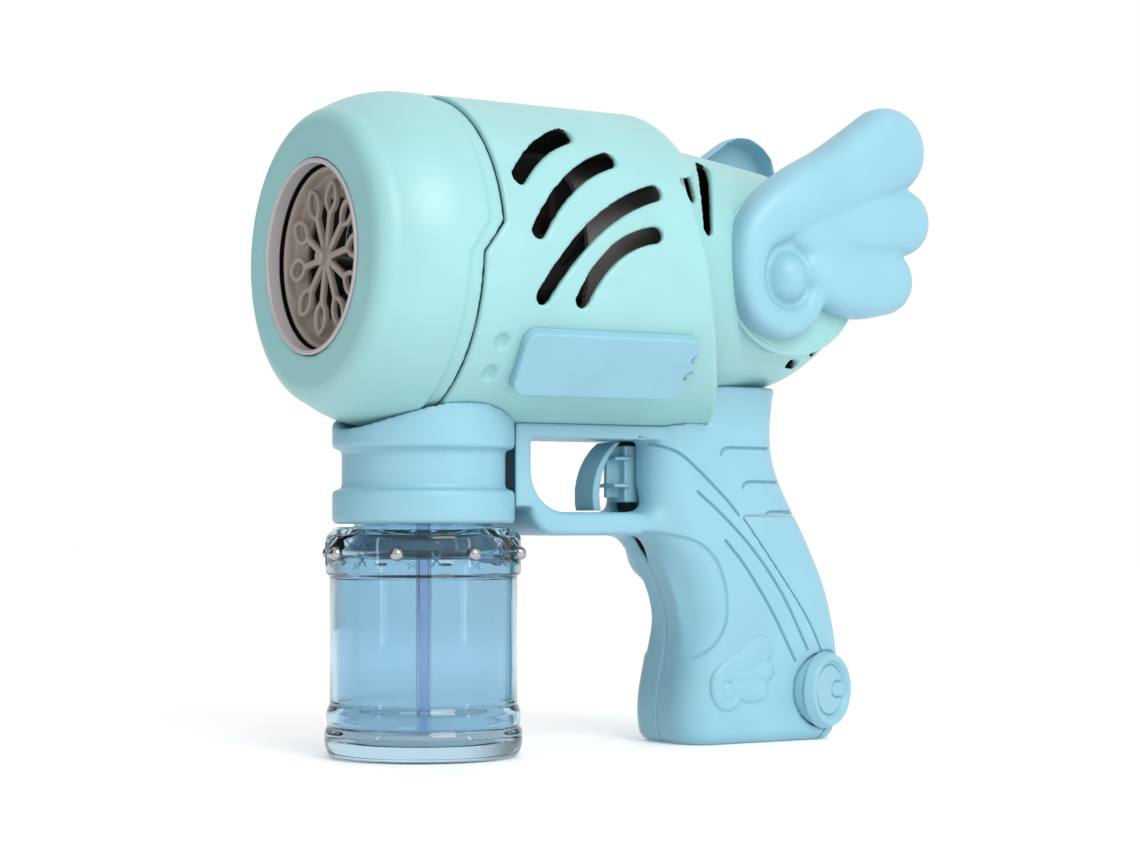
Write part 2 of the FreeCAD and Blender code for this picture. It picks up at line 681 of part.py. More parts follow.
def bubble_wheel():
    """Ten oval loops on spokes round a small hub."""
    body = doc.addObject("PartDesign::Body", "BubbleWheel")
    half = S.WheelThickness / 2
    hub = new_sketch(body, "XY")
    outline(hub, [(S.ShaftRadius, S.WheelY - half), (S.ShaftRadius, S.WheelY + half + 0.7),
                  (S.HubRadius + 1, S.WheelY + half + 0.7), (S.HubRadius + 1, S.WheelY - half),
                  (S.HubRadius, S.WheelY - half), (S.HubRadius, S.WheelY - 2.6), (0, S.WheelY - 2.6),
                  (0, S.WheelY - half)])
    turn = body.newObject("PartDesign::Revolution", "Hub")
    turn.Profile = hub
    turn.ReferenceAxis = (hub, ["V_Axis"])
    turn.Angle = 360.0
    loop = new_sketch(body, "XZ")
    loop.AttachmentOffset = FreeCAD.Placement(Vector(0, 0, -S.WheelY.value), FreeCAD.Rotation())
    loop.setExpression(".AttachmentOffset.Base.z", (-S.WheelY).formula)
    centre = S.WheelRadius - S.LoopHalfLength
    bulge = S.LoopHalfWidth
    tip = 1.5
    outline(loop, oval(centre, S.LoopHalfLength, bulge, tip))
    outline(loop, oval(centre, S.LoopHalfLength - S.LoopBand, bulge - S.LoopBand, tip * 0.6))
    pad = body.newObject("PartDesign::Pad", "Loop")
    pad.Profile = loop
    bind(pad, "Length", S.WheelThickness)
    pad.Midplane = True
    spoke = new_sketch(body, "XZ")
    spoke.AttachmentOffset = loop.AttachmentOffset
    spoke.setExpression(".AttachmentOffset.Base.z", (-S.WheelY).formula)
    root = S.ShaftRadius + 0.5
    end = S.WheelRadius - 2 * S.LoopHalfLength + S.LoopBand / 2
    outline(spoke, [(-0.8, root), (0.8, root), (0.8, end), (-0.8, end)])
    bar = body.newObject("PartDesign::Pad", "Spoke")
    bar.Profile = spoke
    bind(bar, "Length", S.WheelThickness)
    bar.Midplane = True
    doc.recompute()
    pattern = body.newObject("PartDesign::PolarPattern", "Loops")
    pattern.Originals = [pad, bar]
    pattern.Axis = (hub, ["V_Axis"])
    pattern.Angle = 360.0
    pattern.Occurrences = int(S.LoopCount.value)
    pattern.setExpression("Occurrences", S.LoopCount.formula)
    body.Tip = pattern
    place(body, (0, 0, S.AxisHeight), (0, 1, 0), 11.0)
    node("bubble_wheel", body)


def oval(centre, half_length, half_width, tip):
    """Oval outline about (0, centre): two long side arcs and two small end arcs."""
    rise = half_length - tip * 0.55
    side = tip * 0.9
    chord = 2 * rise
    sagitta = half_width - side
    flank = (chord * chord / 4 + sagitta * sagitta) / (2 * sagitta)
    end_sagitta = half_length - rise
    cap = (dim(side) * side + end_sagitta * end_sagitta) / (2 * end_sagitta)
    low = centre - rise
    high = centre + rise
    return [(side, low, flank), (side, high, cap), (-dim(side), high, flank),
            (-dim(side), low, cap)]


def gear_face(teeth, module, bore, phase):
    """Face of a spur gear with straight-flanked teeth and a little backlash."""
    pitch = teeth * module / 2
    tip = pitch + 0.85 * module
    root = pitch - 1.15 * module
    step = 2 * math.pi / teeth
    points = []
    for tooth in range(teeth):
        middle = phase + tooth * step
        for radius, share in ((root, -0.33), (tip, -0.115), (tip, 0.115), (root, 0.33)):
            angle = middle + share * step
            points.append(Vector(radius * math.sin(angle), 0, radius * math.cos(angle)))
    wire = Part.makePolygon(points + [points[0]])
    face = Part.Face(wire)
    if bore > 0:
        hole = Part.Face(Part.Wire(Part.makeCircle(bore, Vector(0, 0, 0), Vector(0, 1, 0))))
        face = face.cut(hole)
    return face


def gear(teeth, bore, phase, length):
    """Spur gear solid from the gear plane, about its own axis."""
    face = gear_face(int(teeth.value), S.GearModule.value, bore, phase)
    solid = face.extrude(Vector(0, length, 0))
    solid.translate(Vector(0, S.GearY.value, 0))
    return solid


def gear_places():
    """Centres of pinion and pump gear, and the phases that keep the teeth in mesh."""
    module = S.GearModule.value
    drop = module * (S.WheelTeeth.value + S.PinionTeeth.value) / 2
    pinion = Vector(0, 0, S.AxisHeight.value - drop)
    reach = module * (S.PumpTeeth.value + S.PinionTeeth.value) / 2
    below = math.radians(S.PumpAngle.value)
    way = Vector(math.cos(below), 0, -math.sin(below))
    pump = pinion + way * reach
    wheel_step = 2 * math.pi / S.WheelTeeth.value
    pinion_step = 2 * math.pi / S.PinionTeeth.value
    pump_step = 2 * math.pi / S.PumpTeeth.value
    wheel_phase = math.pi + wheel_step / 2
    to_pump = math.atan2(way.x, way.z)
    slip = (to_pump / pinion_step) % 1.0
    pump_phase = to_pump + math.pi + (0.5 - (1.0 - slip)) * pump_step
    return pinion, pump, wheel_phase, pump_phase


def drive_train():
    """Wheel gear, pinion, motor, pump and the plate that carries them."""
    axis = S.AxisHeight
    pinion_at, pump_at, wheel_phase, pump_phase = gear_places()
    width = S.GearWidth.value
    shaft = S.ShaftRadius.value
    run = S.Running.value

    rear = S.CarrierY + S.CarrierThickness + 2
    front = S.WheelY - S.WheelThickness / 2
    node("wheel_shaft", rod("WheelShaft", S.ShaftRadius, rear - front, (0, front, axis)))
    wheel_gear = gear(S.WheelTeeth, shaft, wheel_phase, width)
    wheel_gear.translate(Vector(0, 0, axis.value))
    node("wheel_gear", feature("WheelGear", wheel_gear))

    motor_front = (S.CarrierY + S.CarrierThickness).value
    pinion = gear(S.PinionTeeth, 0, 0.0, width)
    stem = Part.makeCylinder(1.0, motor_front + 0.5 - S.GearY.value - width,
                             Vector(0, S.GearY.value + width, 0), Vector(0, 1, 0))
    pinion = pinion.fuse(stem)
    pinion.translate(pinion_at)
    node("drive_pinion", feature("DrivePinion", pinion))

    hub = Part.makeCylinder(8.0, S.CarrierThickness.value, Vector(0, S.CarrierY.value, axis.value),
                            Vector(0, 1, 0))
    carrier = hub
    for turn in (90.0, 180.0, 270.0):
        arm = Part.makeBox(9.0, S.CarrierThickness.value,
                           (S.BarrelRadius - S.Wall).value - 0.4,
                           Vector(-4.5, S.CarrierY.value, 0))
        arm.rotate(Vector(0, 0, 0), Vector(0, 1, 0), turn)
        arm.translate(Vector(0, 0, axis.value))
        carrier = carrier.fuse(arm)
    top = Part.makeBox(9.0, S.CarrierThickness.value, (S.BarrelRadius - S.Wall).value - 0.4,
                       Vector(-4.5, S.CarrierY.value, axis.value))
    pump_pad = Part.makeCylinder(9.0, S.CarrierThickness.value,
                                 Vector(pump_at.x, S.CarrierY.value, pump_at.z), Vector(0, 1, 0))
    rim_out = Part.makeCylinder((S.BarrelRadius - S.Wall).value - 0.3, S.CarrierThickness.value,
                                Vector(0, S.CarrierY.value, axis.value), Vector(0, 1, 0))
    carrier = carrier.fuse([top, pump_pad]).common(rim_out).removeSplitter()
    holes = [
        Part.makeCylinder(shaft + run, 9, Vector(0, S.CarrierY.value - 2, axis.value),
                          Vector(0, 1, 0)),
        Part.makeCylinder(1.0 + 0.3, 9, Vector(pinion_at.x, S.CarrierY.value - 2, pinion_at.z),
                          Vector(0, 1, 0)),
        Part.makeCylinder(shaft + run, 9, Vector(pump_at.x, S.CarrierY.value - 2, pump_at.z),
                          Vector(0, 1, 0)),
        Part.makeCylinder(S.TubeRadius.value + 0.2, 60, Vector(0, 0, 60), Vector(0, 0, 1))]
    node("gear_carrier", feature("GearCarrier", carrier.cut(holes)))

    motor = Part.makeCylinder(S.DriveMotorRadius.value, S.DriveMotorLength.value,
                              Vector(pinion_at.x, motor_front, pinion_at.z), Vector(0, 1, 0))
    snout = Part.makeCylinder(2.2, 2.0, Vector(pinion_at.x, motor_front +
                              S.DriveMotorLength.value, pinion_at.z), Vector(0, 1, 0))
    socket = Part.makeCylinder(1.0 + run, 2.0, Vector(pinion_at.x, motor_front, pinion_at.z),
                               Vector(0, 1, 0))
    node("drive_motor", feature("DriveMotor", motor.fuse(snout).cut(socket)))

    pump_front = S.GearY.value - 2.0 - S.PumpLength.value
    case = Part.makeCylinder(S.PumpRadius.value, S.PumpLength.value,
                             Vector(pump_at.x, pump_front, pump_at.z), Vector(0, 1, 0))
    cavity = Part.makeCylinder(S.PumpRadius.value - 1.6, S.PumpLength.value - 3.0,
                               Vector(pump_at.x, pump_front + 1.5, pump_at.z), Vector(0, 1, 0))
    pump_bore = Part.makeCylinder(shaft + run, S.PumpLength.value,
                                  Vector(pump_at.x, pump_front + 3, pump_at.z), Vector(0, 1, 0))
    node("pump_body", feature("PumpBody", case.cut([cavity, pump_bore])))
    rotor = gear(S.PumpTeeth, 0, pump_phase, width)
    spindle_front = pump_front + 2.2
    spindle_rear = S.CarrierY.value + S.CarrierThickness.value + 1.5
    rotor = rotor.fuse(Part.makeCylinder(shaft, spindle_rear - spindle_front,
                                         Vector(0, spindle_front, 0), Vector(0, 1, 0)))
    for index in range(3):
        angle = 2 * math.pi * index / 3
        roller_at = Vector(5.2 * math.sin(angle), spindle_front, 5.2 * math.cos(angle))
        rotor = rotor.fuse(Part.makeCylinder(2.0, S.PumpLength.value - 4.6, roller_at,
                                             Vector(0, 1, 0)))
    web = Part.makeCylinder(6.0, 1.2, Vector(0, spindle_front, 0), Vector(0, 1, 0))
    rotor = rotor.fuse(web)
    rotor.translate(Vector(pump_at.x, 0, pump_at.z))
    node("pump_rotor", feature("PumpRotor", rotor.removeSplitter()))

    start = Vector(pump_at.x - S.PumpRadius.value * 0.35, pump_front - 0.1, pump_at.z - 4)
    node("delivery_tube", feature("DeliveryTube", bent_tube(
        [start, start + Vector(0, -3.5, 0), start + Vector(0, -3.5, -6.5)], 2.4)))


def bent_tube(points, bend):
    """Tube along straight runs joined by arcs."""
    edges = []
    last = points[0]
    for index in range(1, len(points) - 1):
        corner = points[index]
        before = (points[index - 1] - corner).normalize()
        after = (points[index + 1] - corner).normalize()
        first = corner + before * bend
        second = corner + after * bend
        centre = first + after * bend
        middle = centre + (corner - centre).normalize() * bend
        edges.append(Part.LineSegment(last, first).toShape())
        edges.append(Part.Arc(first, middle, second).toShape())
        last = second
    edges.append(Part.LineSegment(last, points[-1]).toShape())
    path = Part.Wire(edges)
    way = (points[1] - points[0]).normalize()
    outer = Part.Wire(Part.makeCircle(S.TubeRadius.value, points[0], way))
    inner = Part.Wire(Part.makeCircle(S.TubeBore.value, points[0], way))
    return path.makePipeShell([outer], True, True).cut(path.makePipeShell([inner], True, True))


def fan():
    """Duct with its motor spider, impeller and motor."""
    axis = S.AxisHeight
    front = S.DuctFront.value
    length = S.DuctLength.value
    centre = Vector(0, front, axis.value)
    along = Vector(0, 1, 0)
    radius = S.DuctRadius.value
    tube = Part.makeCylinder(radius, length, centre, along)
    tube = tube.cut(Part.makeCylinder(radius - 1.6, length, centre, along))
    back = centre + along * (length - 2.0)
    hub = Part.makeCylinder(S.FanMotorRadius.value + 1.6, 2.0, back, along)
    for turn in (45.0, 135.0, 225.0, 315.0):
        arm = Part.makeBox(5.0, 2.0, radius - 1.0, Vector(-2.5, 0, 0))
        arm.rotate(Vector(0, 0, 0), along, turn)
        arm.translate(back)
        hub = hub.fuse(arm)
    duct = tube.fuse(hub).removeSplitter()
    duct = duct.cut(Part.makeCylinder(1.5, 4.0, back - along, along))
    node("fan_duct", feature("FanDuct", duct))

    motor_at = centre + along * length
    motor = Part.makeCylinder(S.FanMotorRadius.value, S.FanMotorLength.value, motor_at, along)
    socket = Part.makeCylinder(1.0 + S.Running.value, 4.0, motor_at, along)
    cap = Part.makeCylinder(3.0, 2.0, motor_at + along * S.FanMotorLength.value, along)
    node("fan_motor", feature("FanMotor", motor.fuse(cap).cut(socket)))

    hub_front = front + 3.0
    hub_length = length - 8.0
    impeller = Part.makeCylinder(8.0, hub_length, Vector(0, hub_front, axis.value), along)
    impeller = impeller.fuse(Part.makeSphere(8.0, Vector(0, hub_front, axis.value)))
    for index in range(int(S.BladeCount.value)):
        blade = Part.makeBox(1.4, hub_length - 4, radius - 1.6 - 1.5, Vector(-0.7, 0, 0))
        blade.translate(Vector(0, -(hub_length - 4) / 2, 0))
        blade.rotate(Vector(0, 0, 0), Vector(0, 0, 1), 32.0)
        blade.rotate(Vector(0, 0, 0), along, 360.0 * index / S.BladeCount.value)
        blade.translate(Vector(0, hub_front + hub_length / 2, axis.value))
        impeller = impeller.fuse(blade)
    reach = Part.makeCylinder(radius - 1.6 - 1.5, length + 6, Vector(0, front - 6, axis.value), along)
    impeller = impeller.common(reach.fuse(Part.makeSphere(9.0, Vector(0, hub_front, axis.value))))
    stem = Part.makeCylinder(1.0, length + front + 3.0 - hub_front - hub_length,
                             Vector(0, hub_front + hub_length, axis.value), along)
    node("fan_impeller", feature("FanImpeller", impeller.fuse(stem).removeSplitter()))


# ---------------------------------------------------------------- collar and bottle

def bottle_collar():
    """Collar with two rings; its top fits the barrel and its inside takes the neck."""
    high = S.AxisHeight - S.BarrelRadius + 8
    socket = S.NeckRadius + S.Fit
    ceiling = S.NeckTop + S.WasherThickness + 0.1
    round_edge = 1.2
    ring = S.CollarRadius
    corners = [
        (socket, S.CollarBottom), (ring - round_edge, S.CollarBottom, round_edge),
        (ring, S.CollarBottom + round_edge), (ring, S.CollarLowTop - round_edge, round_edge),
        (ring - round_edge, S.CollarLowTop), (S.CollarWaist, S.CollarLowTop),
        (S.CollarWaist, S.CollarHighBottom), (ring - round_edge, S.CollarHighBottom, round_edge),
        (ring, S.CollarHighBottom + round_edge), (ring, high), (S.TubeRadius + 0.2, high),
        (S.TubeRadius + 0.2, ceiling), (socket, ceiling)]
    blank = turned("CollarTurned", corners, about="Z")
    core = rod("CollarCore", S.BarrelRadius, 2 * THROUGH, (0, -THROUGH, S.AxisHeight))
    node("bottle_collar", cut("BottleCollar", blank, [core]))


def bottle():
    """Clear bottle: foot, body, banded shoulder and a neck that enters the collar."""
    body = S.BottleRadius
    wall = S.BottleWall
    foot = S.FootRadius
    neck_in = S.NeckRadius - wall
    corners = [
        (0, 0), (foot - 3.5, 0, 3.2), (foot, 3.0), (foot, 6.5), (foot - 0.8, 8.2),
        (foot - 0.6, 9.6), (foot - 0.6, 12.2), (body, 13.8), (body, S.BandBottom - 0.8),
        (S.BandRadius, S.BandBottom), (S.BandRadius, S.BandTop), (S.BandRadius - 2, S.BottleTop),
        (S.NeckRadius, S.BottleTop), (S.NeckRadius, S.NeckTop), (neck_in, S.NeckTop),
        (neck_in, S.BottleTop - 1.5), (body - wall, S.BandBottom + 4), (body - wall, 7.0),
        (body - wall - 3, 4.0), (0, 4.0)]
    turned_bottle = turned("BottleTurned", corners, about="Z")
    sockets = [stud_rod(f"StudSocket{index}", index, S.StudRadius + 0.02, S.BandRadius - 1.0, 3)
               for index in range(8)]
    node("bottle", cut("Bottle", turned_bottle, sockets))


def stud_rod(name, index, radius, start, length):
    """Radial rod at the height of the studs, at one of eight places."""
    angle = dim(45 * index)
    stud = doc.addObject("Part::Cylinder", name)
    bind(stud, "Radius", radius)
    bind(stud, "Height", length)
    x = start * cosine(angle)
    y = start * sine(angle)
    outward = Vector(math.cos(math.radians(angle.value)), math.sin(math.radians(angle.value)), 0)
    turn = FreeCAD.Rotation(Vector(0, 0, 1), outward)
    stud.Placement = FreeCAD.Placement(Vector(x.value, y.value, S.StudHeight.value), turn)
    stud.setExpression(".Placement.Base.x", x.formula)
    stud.setExpression(".Placement.Base.y", y.formula)
    stud.setExpression(".Placement.Base.z", S.StudHeight.formula)
    return stud


def bottle_studs():
    """Eight round metal studs set in the band."""
    studs = []
    for index in range(8):
        stud = stud_rod(f"Stud{index}", index, S.StudRadius, S.BandRadius - 0.98, 1.9)
        studs.append(stud)
    node("bottle_studs", fuse("BottleStuds", studs))


def bottle_washer():
    """Sealing washer on the bottle's mouth."""
    base = S.NeckTop + 0.02
    corners = [(S.TubeRadius + 1.5, base), (S.NeckRadius - 0.3, base),
               (S.NeckRadius - 0.3, base + S.WasherThickness),
               (S.TubeRadius + 1.5, base + S.WasherThickness)]
    node("bottle_washer", turned("BottleWasher", corners, about="Z"))


def dip_tube():
    """Straight tube from near the bottle's base up into the barrel."""
    top = S.AxisHeight - 34
    outer = rod("DipOuter", S.TubeRadius, top - 6, (0, 0, 6), "Z")
    bore = rod("DipBore", S.TubeBore, top - 4, (0, 0, 5), "Z")
    node("dip_tube", cut("DipTube", outer, [bore]))


# ---------------------------------------------------------------- grip

def grip_section(front, back, half, radius, height):
    """Rounded rectangle of the grip at one height."""
    corners = [(half - radius, front + radius, -90), (half - radius, back - radius, 0),
               (radius - half, back - radius, 90), (radius - half, front + radius, 180)]
    edges = []
    last = None
    for x, y, start in corners:
        ends = []
        for turn in (0, 45, 90):
            angle = math.radians(start + turn)
            ends.append(Vector(x + radius * math.cos(angle), y + radius * math.sin(angle), height))
        if last is not None:
            edges.append(Part.LineSegment(last, ends[0]).toShape())
        edges.append(Part.Arc(*ends).toShape())
        last = ends[2]
    edges.append(Part.LineSegment(last, edges[0].Vertexes[0].Point).toShape())
    return Part.Wire(edges)


def grip_solid(inset):
    """Grip as a loft of rounded sections; inset gives its inside."""
    front = S.GripFrontTop.value
    half = S.GripHalf.value
    top = (S.AxisHeight - 30).value
    door_top = S.DoorTop.value
    sections = [
        (0.0, 74.8, 127.6), (10.0, 73.4, 129.0), (20.0, 75.0, 129.3), (30.0, 76.6, 127.9),
        (42.5, 74.3, 124.4), (52.0, 68.9, 119.9), (door_top - 1.7, front + 1.0, 114.8),
        (71.5, front, 108.6), (81.0, front, 105.6), (89.0, front, 105.6), (top, front, 107.0)]
    wires = []
    for height, near, far in sections:
        raised = max(height, inset)
        wires.append(grip_section(near + inset, far - inset, half - inset,
                                  S.GripRound.value - inset, raised))
    solid = Part.makeLoft(wires, True, False)
    if inset > 0:
        return solid
    foot = [edge for edge in solid.Edges if edge.BoundBox.ZMax < 0.01]
    return solid.makeFillet(4.0, foot)


def guard_solid():
    """Trigger guard: a strap below, a thin wall at the collar and a rail under the barrel."""
    half = S.GuardHalf.value
    bottom = S.GuardBottom.value
    floor = S.GuardFloor.value
    ceiling = S.GuardCeiling.value
    rail_end = S.MidRear.value + 10
    top = (S.AxisHeight - S.BarrelRadius).value + 6
    front_top = S.GripFrontTop.value
    outer = Part.makeBox(2 * half, rail_end - 12, top - bottom, Vector(-half, 12, bottom))
    lower_rear = Part.makeBox(2 * half, 40, ceiling - bottom + 0.4,
                              Vector(-half, front_top + 8, bottom))
    turn = S.GuardRound.value * 0.7
    corner_front = S.CollarRadius.value + 0.8
    corner = Part.makeBox(2 * half + 2, corner_front + turn - 11, turn + 1,
                          Vector(-half - 1, 11, bottom - 1))
    corner = corner.cut(Part.makeCylinder(turn, 2 * half + 2, Vector(-half - 1, corner_front + turn,
                                                                     bottom + turn),
                                          Vector(1, 0, 0)))
    solid = outer.cut([lower_rear, corner])
    opening_front = S.CollarRadius.value + 1.2
    opening = Part.makeBox(2 * half + 2, front_top + 14 - opening_front, ceiling - floor,
                           Vector(-half - 1, opening_front, floor))
    low_front = [edge for edge in opening.Edges if edge.BoundBox.ZMax < floor + 0.01
                 and edge.BoundBox.YMax < opening_front + 0.01]
    opening = opening.makeFillet(S.GuardRound.value, low_front)
    wrap = Part.makeCylinder(S.CollarRadius.value + 1.9, 60, Vector(0, 0, 40), Vector(0, 0, 1))
    solid = solid.cut(opening.cut(wrap))
    rims = [edge for edge in solid.Edges
            if edge.BoundBox.ZLength < 0.01 and edge.BoundBox.XLength < 0.01
            and abs(abs(edge.CenterOfMass.x) - half) < 0.01
            and (abs(edge.CenterOfMass.z - bottom) < 0.01
                 or abs(edge.CenterOfMass.z - floor) < 0.01)]
    return solid.makeFillet(1.8, rims)


def seam_cutter(shift):
    """Region of the battery door: behind the long curved seam, below the door's top."""
    top = S.DoorTop.value - shift
    seam = [(50.0 + 66.0, -5.0), (119.5, 22.0), (115.5, 31.0), (107.0, 43.0), (96.5, 56.0),
            (90.0, S.DoorTop.value + 1)]
    seam = [(y + shift, z) for y, z in seam]
    edge = spline_edge(seam)
    low = seam[0]
    high = seam[-1]
    wire = Part.Wire([edge, line_edge(high, (150, high[1])),
                      line_edge((150, high[1]), (150, low[1])), line_edge((150, low[1]), low)])
    region = slab(wire, 40.0)
    above = Part.makeBox(100, 200, 60, Vector(-50, 0, top))
    return region.cut(above)


def knob_frame(solid):
    """Put a solid made along +Z on the knob's axis, its z = 0 on the knob's seat plane."""
    turn = math.radians(S.KnobTurn.value)
    outward = Vector(math.cos(turn), math.sin(turn), 0)
    placed = solid.copy()
    placed.Placement = FreeCAD.Placement(
        Vector(S.KnobFace.value, S.KnobY.value, S.KnobHeight.value),
        FreeCAD.Rotation(Vector(0, 0, 1), outward))
    return placed


def barrel_clearances():
    """Outsides of the mid and rear shells, as tools that fit the grip to them."""
    barrel = rod("BarrelRoom", S.BarrelRadius, 2 * THROUGH + 40, (0, -THROUGH, S.AxisHeight))
    mid = cut("MidRoom", barrel, [barrel_end_region("MidRoomBehind", S.SeamGap)])
    rear = envelope_rear("RearRoom", 0.1)
    doc.recompute()
    return [mid.Shape, rear.Shape]


def grip_pieces():
    """Grip halves with the guard, the battery door and its lock knob."""
    clear = S.SeamGap.value
    outside = grip_solid(0)
    inside = grip_solid(S.GripWall.value)
    ceiling = Part.makeBox(80, 200, 60, Vector(-40, 0, S.GuardCeiling.value + 2))
    inside = inside.cut(ceiling)
    slot_half = S.TriggerHalf.value + S.Fit.value
    slot = Part.makeBox(2 * slot_half, 12, S.GuardCeiling.value - S.GuardFloor.value - 0.4,
                        Vector(-slot_half, S.GripFrontTop.value - 1, S.GuardFloor.value + 0.2))
    guard = guard_solid().cut([
        Part.makeCylinder(S.CollarRadius.value + 0.1, 80, Vector(0, 0, 20)),
        Part.makeCylinder(S.BandRadius.value + S.Fit.value, S.BottleTop.value + S.Fit.value)])
    outer = outside.fuse(guard).removeSplitter()
    shell = outer.cut([inside, slot] + barrel_clearances())
    seat_radius = S.KnobRadius.value - 0.6
    seat = knob_frame(Part.makeCylinder(seat_radius, 16, Vector(0, 0, -16)))
    seat = seat.cut(inside)
    above_wall = Part.makeBox(60, 200, 120, Vector(S.KnobFace.value - 12, 0, -40))
    seat = seat.common(above_wall)
    seat_room = knob_frame(Part.makeCylinder(seat_radius + S.Fit.value, 18,
                                             Vector(0, 0, -16)))
    seat_room = seat_room.common(above_wall)
    ground = Part.makeBox(200, 300, 40, Vector(-100, -50, -40))
    knob_room = knob_frame(Part.makeCylinder(S.KnobRadius.value + S.Fit.value, 18))
    stem_bore = knob_frame(Part.makeCylinder(2.5 + S.Running.value, 8, Vector(0, 0, -6)))

    door = shell.common(seam_cutter(clear)).fuse(seat).removeSplitter()
    door = door.cut([ground, stem_bore, knob_room])
    node("battery_door", feature("BatteryDoor", door))

    fixed = shell.cut([seam_cutter(0.0), seat_room])
    screws = grip_screw_places()
    reach = S.GripHalf.value - S.GripWall.value + 0.6
    core = grip_solid(S.GripWall.value - 0.6)
    boss_radius, pilot_radius, shank_radius, head_radius = 3.3, 1.3, 1.25, 2.5
    bosses = [Part.makeCylinder(boss_radius, reach - 0.1,
                                Vector(0.1, y, z), Vector(1, 0, 0)).common(core)
              for y, z in screws]
    far_bosses = [Part.makeCylinder(boss_radius, reach - 0.1, Vector(-0.1, y, z), Vector(-1, 0, 0))
                  .common(core) for y, z in screws]
    left = fixed.common(Part.makeBox(60, 300, 300, Vector(0, -50, -10)))
    left = left.fuse(bosses).removeSplitter()
    pilot = [Part.makeCylinder(pilot_radius, S.GripHalf.value - 4, Vector(0, y, z), Vector(1, 0, 0))
             for y, z in screws]
    left = left.cut(pilot)
    right = fixed.common(Part.makeBox(60, 300, 300, Vector(-60, -50, -10)))
    right = right.fuse(far_bosses).removeSplitter()
    seat_depth = 4.5
    heads = []
    for y, z in screws:
        heads.append(Part.makeCylinder(shank_radius + 0.2, 20, Vector(-20, y, z), Vector(1, 0, 0)))
        heads.append(Part.makeCylinder(head_radius + 0.2, 2 * seat_depth,
                                       Vector(-S.GripHalf.value - seat_depth, y, z),
                                       Vector(1, 0, 0)))
    node("grip_left", feature("GripLeft", left))
    node("grip_right", feature("GripRight", right.cut(heads)))

    screw_set = []
    for y, z in screws:
        under_head = Vector(seat_depth - S.GripHalf.value, y, z)
        head = Part.makeCylinder(head_radius, 1.5, under_head, Vector(-1, 0, 0))
        shank = Part.makeCylinder(shank_radius, S.GripHalf.value + 3, under_head, Vector(1, 0, 0))
        slots = [Part.makeBox(0.8, 3.0, 0.7, under_head + Vector(-1.6, -1.5, -0.35)),
                 Part.makeBox(0.8, 0.7, 3.0, under_head + Vector(-1.6, -0.35, -1.5))]
        screw_set.append(head.fuse(shank).cut(slots))
    node("grip_screws", feature("GripScrews", Part.makeCompound(screw_set)))


def grip_screw_places():
    """Places of the grip's screws in the middle plane."""
    return [(78.6, 9.0), (75.8, 50.5), (84.0, 76.0)]


def lock_knob():
    """Round knob on the battery door: rolled rim, recessed face with a raised tab."""
    radius = S.KnobRadius
    thick = S.KnobThickness
    gap = 0.1
    corners = [
        (0, -4.5), (2.5, -4.5), (2.5, gap), (radius - 0.8, gap, 1.6), (radius - 0.3, thick - 1.4, 1.6),
        (radius - 2.2, thick), (radius - 3.6, thick - 0.3), (radius - 3.6, thick - 1.0),
        (0, thick - 1.0)]
    disc = turned("KnobDisc", corners, about="Z")
    tab = block("KnobTab", (radius - 2.6, 3.4, 0.9), (0.5, -1.7, thick - 1.2))
    knob = fuse("KnobBlank", [disc, tab])
    turn = math.radians(S.KnobTurn.value)
    outward = Vector(math.cos(turn), math.sin(turn), 0)
    rearward = Vector(-math.sin(turn), math.cos(turn), 0)
    rotation = FreeCAD.Rotation(rearward, outward.cross(rearward), outward, "ZXY")
    knob.Placement = FreeCAD.Placement(Vector(0, 0, 0), rotation)
    knob.setExpression(".Placement.Base.x", S.KnobFace.formula)
    knob.setExpression(".Placement.Base.y", S.KnobY.formula)
    knob.setExpression(".Placement.Base.z", S.KnobHeight.formula)
    node("lock_knob", knob)


def trigger():
    """Hooked trigger blade with two ribs and a stem that slides in the grip."""
    low = S.GuardFloor + 0.5
    high = S.GuardCeiling - 0.5
    front = S.GripFrontTop - 6.0
    blade = plate("TriggerBlade", "YZ", [[
        (front - 7.0, low, -18.0), (front, high), (front + 1.7, high, 18.0),
        (front - 4.6, low)]], 2 * S.TriggerHalf, middle=True)
    height = high - low
    half = S.TriggerHalf
    parts = [blade]
    for index, share in enumerate((0.34, 0.74)):
        parts.append(block(f"TriggerRib{index}", (2 * half, 5.0, 1.0),
                           (-half, front - 0.8 + share, low + height * share)))
    stem = block("TriggerStem", (2 * half - 2.0, 8.0, height - 3.0),
                 (-half + 1.0, front + 3.6, low + 2.2))
    web = block("TriggerWeb", (1.6, 4.6, height - 4.5), (-0.8, front - 0.4, low + 3.5))
    node("trigger", fuse("Trigger", parts + [stem, web]))


